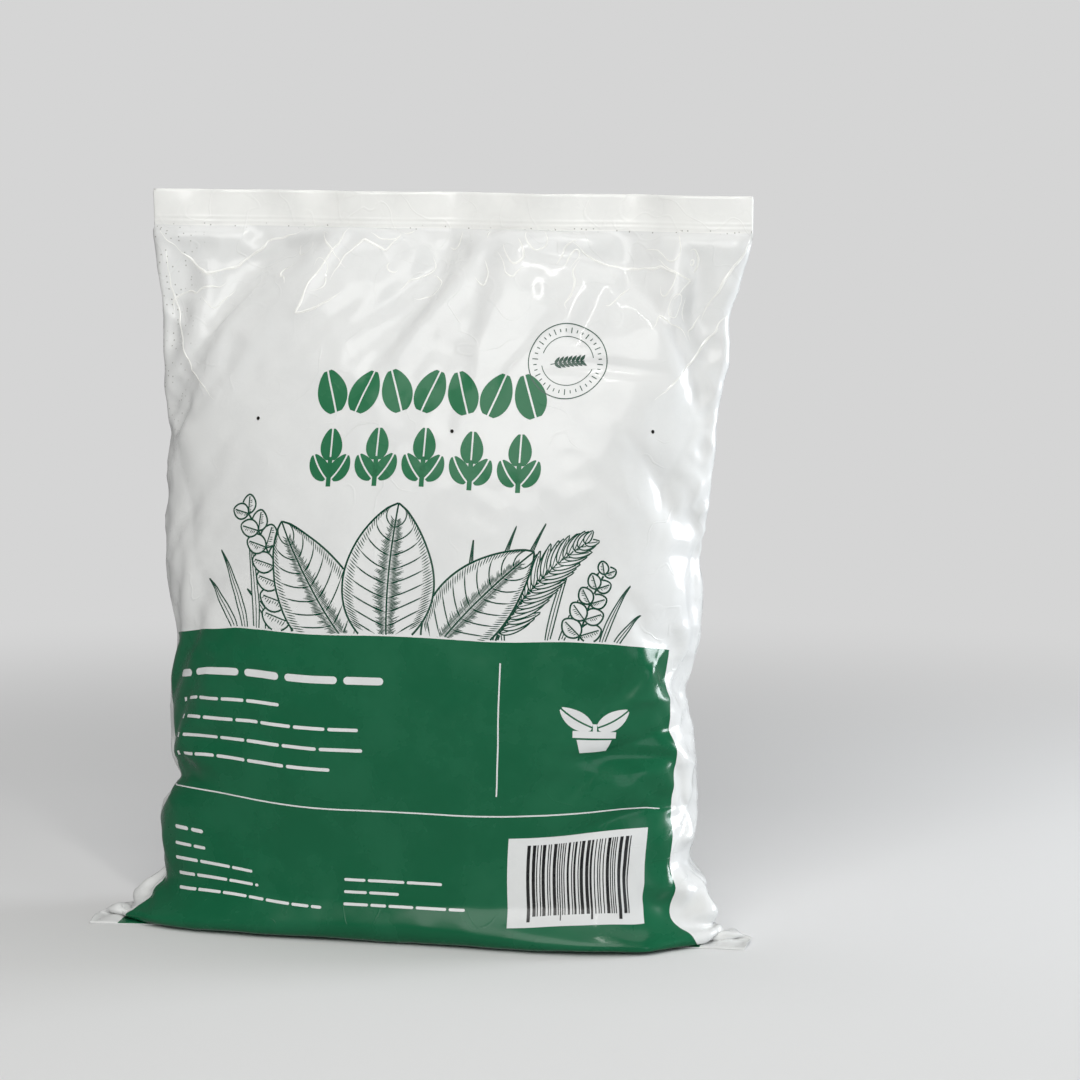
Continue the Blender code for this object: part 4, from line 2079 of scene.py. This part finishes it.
@dataclass(frozen=True)
class FilmSheen:
    """The fine surface of blown film: soft waves, patches of fine creases, grain and uneven gloss."""

    name: str = "film_sheen"
    wave_size: float = 0.0065
    crease_size: float = 0.026
    crease_width: float = 0.022
    crease_warp: float = 2.2
    patch_size: float = 0.060
    patch_range: Span = (0.50, 0.66)
    gloss_share: float = 0.6
    grain_size: float = 0.0011
    upper_range: Span = (0.33, 0.41)
    upper_creases: float = 0.8
    speck_gap: float = 0.0034
    speck_range: Span = (0.06, 0.16)
    speck_chance: Span = (0.52, 0.75)
    speck_strength: float = 0.75
    dusty_left: Span = (-0.160, -0.135)
    dusty_high: Span = (0.27, 0.33)
    seal_v: float = 0.424
    seal_margin: float = 0.002
    seam_dust: Span = (0.0008, 0.0018)

    def build(self) -> bpy.types.NodeTree:
        """Makes the node group.

        Returns:
            The group, with a height in metres, a share of gloss and a mask of dust.
        """
        group = bpy.data.node_groups.new(self.name, "ShaderNodeTree")
        for label in ("Wave Height", "Crease Height", "Grain Height"):
            group.interface.new_socket(name=label, in_out="INPUT", socket_type="NodeSocketFloat")
        for label in ("Height", "Gloss", "Dust"):
            group.interface.new_socket(name=label, in_out="OUTPUT", socket_type="NodeSocketFloat")
        sheet = NodeSheet(group)
        given = sheet.add("NodeGroupInput").outputs
        place = sheet.add("ShaderNodeUVMap", {"uv_map": UV_NAME}).outputs["UV"]
        warp = sheet.noise(place, self.crease_warp * self.crease_size, 3.0).outputs["Color"]
        shift = sheet.add("ShaderNodeVectorMath", {"operation": "MULTIPLY_ADD"}, in_0=warp,
                          in_1=(self.crease_size,) * 3, in_2=place).outputs[0]
        loops = sheet.noise(shift, self.crease_size, 1.0).outputs["Fac"]
        middle = sheet.math("ABSOLUTE", sheet.math("SUBTRACT", loops, 0.5))
        ridge = sheet.ramp(middle, 0.0, self.crease_width, 1.0, 0.0)
        patches = sheet.noise(place, self.patch_size, 2.0).outputs["Fac"]
        here = sheet.ramp(patches, *self.patch_range)
        height_up = sheet.add("ShaderNodeSeparateXYZ", None, Vector=place).outputs["Y"]
        upper = sheet.ramp(height_up, *self.upper_range, 0.0, self.upper_creases)
        creased = sheet.math("MULTIPLY", ridge, sheet.math("MAXIMUM", here, upper))
        waves = sheet.noise(place, self.wave_size, 2.0, 0.45).outputs["Fac"]
        grain = sheet.noise(place, self.grain_size, 1.0).outputs["Fac"]
        height = sheet.math("MULTIPLY", waves, given["Wave Height"])
        height = sheet.math("ADD", height, sheet.math("MULTIPLY", creased, given["Crease Height"]))
        height = sheet.math("ADD", height, sheet.math("MULTIPLY", grain, given["Grain Height"]))
        gloss = sheet.noise(place, self.gloss_share * self.patch_size, 4.0, 0.6).outputs["Fac"]
        sheet.add("NodeGroupOutput", None, Height=height, Gloss=gloss, Dust=self.dust(sheet, place))
        return group

    def dust(self, sheet: NodeSheet, place: Socket) -> Socket:
        """Small dark specks on the upper left side and along the top seal line.

        Args:
            sheet: The group's nodes.
            place: The flat coordinates.

        Returns:
            A mask of the specks.
        """
        spots = sheet.add("ShaderNodeTexVoronoi", {"voronoi_dimensions": "2D"}, Vector=place,
                          Scale=1 / self.speck_gap)
        speck = sheet.ramp(spots.outputs["Distance"], *self.speck_range, 1.0, 0.0)
        chance = sheet.add("ShaderNodeSeparateColor", None, Color=spots.outputs["Color"]).outputs["Red"]
        strength = sheet.ramp(chance, *self.speck_chance, 0.0, self.speck_strength)
        speck = sheet.math("MULTIPLY", speck, strength)
        axes = sheet.add("ShaderNodeSeparateXYZ", None, Vector=place).outputs
        left = sheet.ramp(axes["X"], *self.dusty_left, 1.0, 0.0)
        high = sheet.ramp(axes["Y"], *self.dusty_high)
        below = sheet.ramp(axes["Y"], self.seal_v - self.seal_margin, self.seal_v, 1.0, 0.0)
        high = sheet.math("MULTIPLY", high, below)
        from_seal = sheet.math("ABSOLUTE", sheet.math("SUBTRACT", axes["Y"], self.seal_v))
        seam = sheet.ramp(from_seal, *self.seam_dust, 1.0, 0.0)
        return sheet.math("MULTIPLY", speck, sheet.math("MAXIMUM", sheet.math("MULTIPLY", left, high), seam))


@dataclass(frozen=True)
class FilmFinish:
    """A glossy film or ink, with the film's own sheen."""

    name: str
    colour: Tint
    worn: Tint
    smooth: float = 0.20
    dull: float = 0.34
    wave_height: float = 0.00003
    crease_height: float = 0.00010
    grain_height: float = 0.000002
    specular: float = 0.35
    coat: float = 0.1
    coat_roughness: float = 0.08
    tint_range: Span = (0.35, 0.68)
    gloss_range: Span = (0.32, 0.68)
    dusty: bool = False
    dust: Tint = (0.20, 0.19, 0.16)

    def build(self, sheen: bpy.types.NodeTree) -> bpy.types.Material:
        """Makes the material.

        Args:
            sheen: The film's sheen.

        Returns:
            The material.
        """
        material = bpy.data.materials.new(self.name)
        material.use_nodes = True
        shader = material.node_tree.nodes["Principled BSDF"]
        sheet = NodeSheet(material.node_tree)
        surface = sheet.add("ShaderNodeGroup", {"node_tree": sheen}, Wave_Height=self.wave_height,
                            Crease_Height=self.crease_height, Grain_Height=self.grain_height)
        tint = sheet.add("ShaderNodeMix", {"data_type": "RGBA"},
                         Factor=sheet.ramp(surface.outputs["Gloss"], *self.tint_range))
        tint.inputs["A"].default_value = (*self.colour, 1.0)
        tint.inputs["B"].default_value = (*self.worn, 1.0)
        colour = tint.outputs["Result"]
        if self.dusty:
            dusted = sheet.add("ShaderNodeMix", {"data_type": "RGBA"}, Factor=surface.outputs["Dust"])
            material.node_tree.links.new(colour, dusted.inputs["A"])
            dusted.inputs["B"].default_value = (*self.dust, 1.0)
            colour = dusted.outputs["Result"]
        material.node_tree.links.new(colour, shader.inputs["Base Color"])
        rough = sheet.ramp(surface.outputs["Gloss"], *self.gloss_range, self.smooth, self.dull)
        material.node_tree.links.new(rough, shader.inputs["Roughness"])
        bump = sheet.add("ShaderNodeBump", None, Height=surface.outputs["Height"], Distance=1.0,
                         Strength=1.0)
        material.node_tree.links.new(bump.outputs["Normal"], shader.inputs["Normal"])
        shader.inputs["Specular IOR Level"].default_value = self.specular
        shader.inputs["Coat Weight"].default_value = self.coat
        shader.inputs["Coat Roughness"].default_value = self.coat_roughness
        return material


def make_finishes() -> Finishes:
    """Makes every finish of the bag.

    Returns:
        The materials, by name.
    """
    sheen = FilmSheen().build()
    finishes = (
        FilmFinish("white_film", (0.750, 0.757, 0.750), (0.715, 0.722, 0.717), coat=0.3, specular=0.14,
                   crease_height=0.00012, dusty=True),
        # The crease ridges are brighter and glossier than the white film: a painted highlight along each
        # crest.
        FilmFinish("crease_highlight_film", (0.960, 0.960, 0.930), (0.940, 0.940, 0.910), smooth=0.10, dull=0.20,
                   specular=0.5, coat=0.8),
        # The band is the same white film made brighter: painted light for the light that falls on the upright
        # band.
        FilmFinish("band_film_painted_light", (0.865, 0.867, 0.845), (0.810, 0.812, 0.794), dull=0.30, coat=0.3,
                   specular=0.28, dusty=True),
        FilmFinish("green_film", (0.0065, 0.108, 0.046), (0.0090, 0.122, 0.054), crease_height=0.00006,
                   specular=0.22, coat=0.15),
        FilmFinish("green_ink", (0.026, 0.155, 0.070), (0.032, 0.167, 0.078), dull=0.32,
                   crease_height=0.00006, specular=0.12, coat=0.08),
        FilmFinish("dark_ink", (0.010, 0.058, 0.034), (0.013, 0.066, 0.040), smooth=0.22),
        FilmFinish("white_ink", (0.720, 0.730, 0.728), (0.690, 0.700, 0.698), crease_height=0.00006,
                   specular=0.16),
        FilmFinish("black_ink", (0.012, 0.012, 0.013), (0.018, 0.018, 0.018), smooth=0.24, dull=0.36,
                   crease_height=0.00006),
        # Near black: the compost seen through a vent hole, partly its own colour and partly painted shade
        # inside the hole.
        FilmFinish("hole_compost_and_shade", (0.008, 0.007, 0.006), (0.012, 0.010, 0.008), smooth=0.7, dull=0.9, coat=0.0,
                   specular=0.2),
    )
    return {finish.name: finish.build(sheen) for finish in finishes}


@dataclass(frozen=True)
class Softbox:
    """A lamp with a broad even face."""

    name: str
    place: Tint
    aim: Tint
    width: float
    height: float
    power: float
    colour: Tint = (1.0, 1.0, 1.0)

    def build(self) -> bpy.types.Object:
        """Makes the lamp.

        Returns:
            The lamp.
        """
        data = bpy.data.lights.new(self.name, "AREA")
        data.shape = "RECTANGLE"
        data.size = self.width
        data.size_y = self.height
        data.energy = self.power
        data.color = self.colour
        lamp = linked(self.name, data)
        lamp.location = self.place
        lamp.rotation_euler = (Vector(self.aim) - Vector(self.place)).to_track_quat("-Z", "Y").to_euler()
        return lamp


@dataclass
class Studio:
    """The camera, the soft lamps and the seamless pale floor."""

    focal_pixels: float = 4476.0
    frame_pixels: float = 1080.0
    sensor: float = 36.0
    distance: float = 2.334
    sight: float = 1000.0
    aim: Tint = (0.0592, 0.0, 0.2048)
    world_level: float = 0.12
    floor_colour: float = 0.76
    far_level: float = 0.665
    near_reach: float = 0.45
    far_reach: float = 1.10
    mirror_level: float = 0.22
    mirror_share: float = 0.95
    floor_size: float = 400.0
    lamps: tuple[Softbox, ...] = (
        Softbox("key", (0.25, -2.60, 1.75), (0, 0, 0.2), 2.2, 2.0, 59.0, (1.0, 0.995, 0.98)),
        Softbox("side", (1.15, 0.60, 0.26), (0.14, 0, 0.2), 0.5, 0.4, 12.5, (0.92, 0.96, 1.0)),
        Softbox("strip", (1.30, -1.05, 0.45), (0.1, 0, 0.15), 0.45, 0.8, 2.0, (0.84, 0.93, 1.0)),
        Softbox("top", (0.0, 0.1, 1.7), (0, 0, 0.1), 1.4, 1.0, 7.0),
        Softbox("glint", (0.45, -0.85, 1.70), (0, 0, 0.3), 0.07, 0.7, 4.0, (1.0, 0.99, 0.95)),
    )

    def build(self) -> None:
        """Makes the studio."""
        scene = bpy.context.scene
        scene.view_settings.view_transform = "Standard"
        self.camera()
        for lamp in self.lamps:
            lamp.build()
        world = bpy.data.worlds.new("studio")
        world.use_nodes = True
        background = world.node_tree.nodes["Background"]
        background.inputs["Color"].default_value = (1.0, 1.0, 1.0, 1.0)
        sheet = NodeSheet(world.node_tree)
        seen = sheet.add("ShaderNodeLightPath").outputs["Is Camera Ray"]
        level = sheet.ramp(seen, 0.0, 1.0, self.world_level, self.far_level)
        world.node_tree.links.new(level, background.inputs["Strength"])
        scene.world = world
        self.floor()

    def camera(self) -> None:
        """Makes the camera, at the photograph's viewing angle."""
        data = bpy.data.cameras.new("camera")
        data.sensor_width = self.sensor
        data.lens = self.sensor * self.focal_pixels / self.frame_pixels
        data.clip_end = self.sight
        azimuth, pitch = math.radians(VIEW_AZIMUTH), math.radians(VIEW_PITCH)
        level = math.cos(pitch)
        away = Vector((math.sin(azimuth) * level, -math.cos(azimuth) * level, math.sin(pitch)))
        camera = linked("camera", data)
        camera.location = Vector(self.aim) + away * self.distance
        camera.rotation_euler = (-away).to_track_quat("-Z", "Y").to_euler()
        bpy.context.scene.camera = camera

    def floor(self) -> None:
        """Makes the floor, whose far part is an even pale field to the camera and to reflections."""
        material = bpy.data.materials.new("floor")
        material.use_nodes = True
        tree = material.node_tree
        tree.nodes.remove(tree.nodes["Principled BSDF"])
        sheet = NodeSheet(tree)
        near = sheet.add("ShaderNodeBsdfDiffuse", None, Color=(*(self.floor_colour,) * 3, 1.0))
        path = sheet.add("ShaderNodeLightPath").outputs
        level = sheet.ramp(path["Is Camera Ray"], 0.0, 1.0, self.mirror_level, self.far_level)
        far = sheet.add("ShaderNodeEmission", None, Color=(1.0, 1.0, 1.0, 1.0), Strength=level)
        seen = sheet.math("MAXIMUM", path["Is Camera Ray"], path["Is Glossy Ray"])
        seen = sheet.math("MAXIMUM", seen, path["Is Transmission Ray"])
        place = sheet.add("ShaderNodeNewGeometry").outputs["Position"]
        away = sheet.add("ShaderNodeVectorMath", {"operation": "LENGTH"}, in_0=place).outputs["Value"]
        share = sheet.math("MULTIPLY", sheet.ramp(away, self.near_reach, self.far_reach), seen)
        mirrored = sheet.math("MULTIPLY", path["Is Glossy Ray"], self.mirror_share)
        share = sheet.math("MAXIMUM", share, mirrored)
        mixed = sheet.add("ShaderNodeMixShader", None, Fac=share, in_1=near.outputs[0], in_2=far.outputs[0])
        tree.links.new(mixed.outputs[0], tree.nodes["Material Output"].inputs["Surface"])
        floor = linked("floor", square_mesh("floor", self.floor_size / 2, 0.0))
        floor.data.materials.append(material)


def main() -> None:
    """Builds the bag, the print and the studio, and reports each piece."""
    logging.basicConfig(level=logging.INFO, format="%(message)s")
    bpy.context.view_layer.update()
    form = BagForm()
    surface = FilmSurface(form, FilmSimulation(form).run())
    relief = FilmRelief()
    relief.apply(surface)
    finishes = make_finishes()
    pieces = [FilmBag(surface).build(finishes)]
    pieces += PrintedFront(surface).build(finishes)
    pieces.append(CreaseRidges(surface, relief).build(finishes))
    pieces.append(VentHoles(surface).build(finishes))
    for piece in pieces:
        LOG.info("%s: %d faces", piece.name, len(piece.data.polygons))
    Studio().build()
    bpy.context.view_layer.update()


if __name__ == "__main__":
    main()
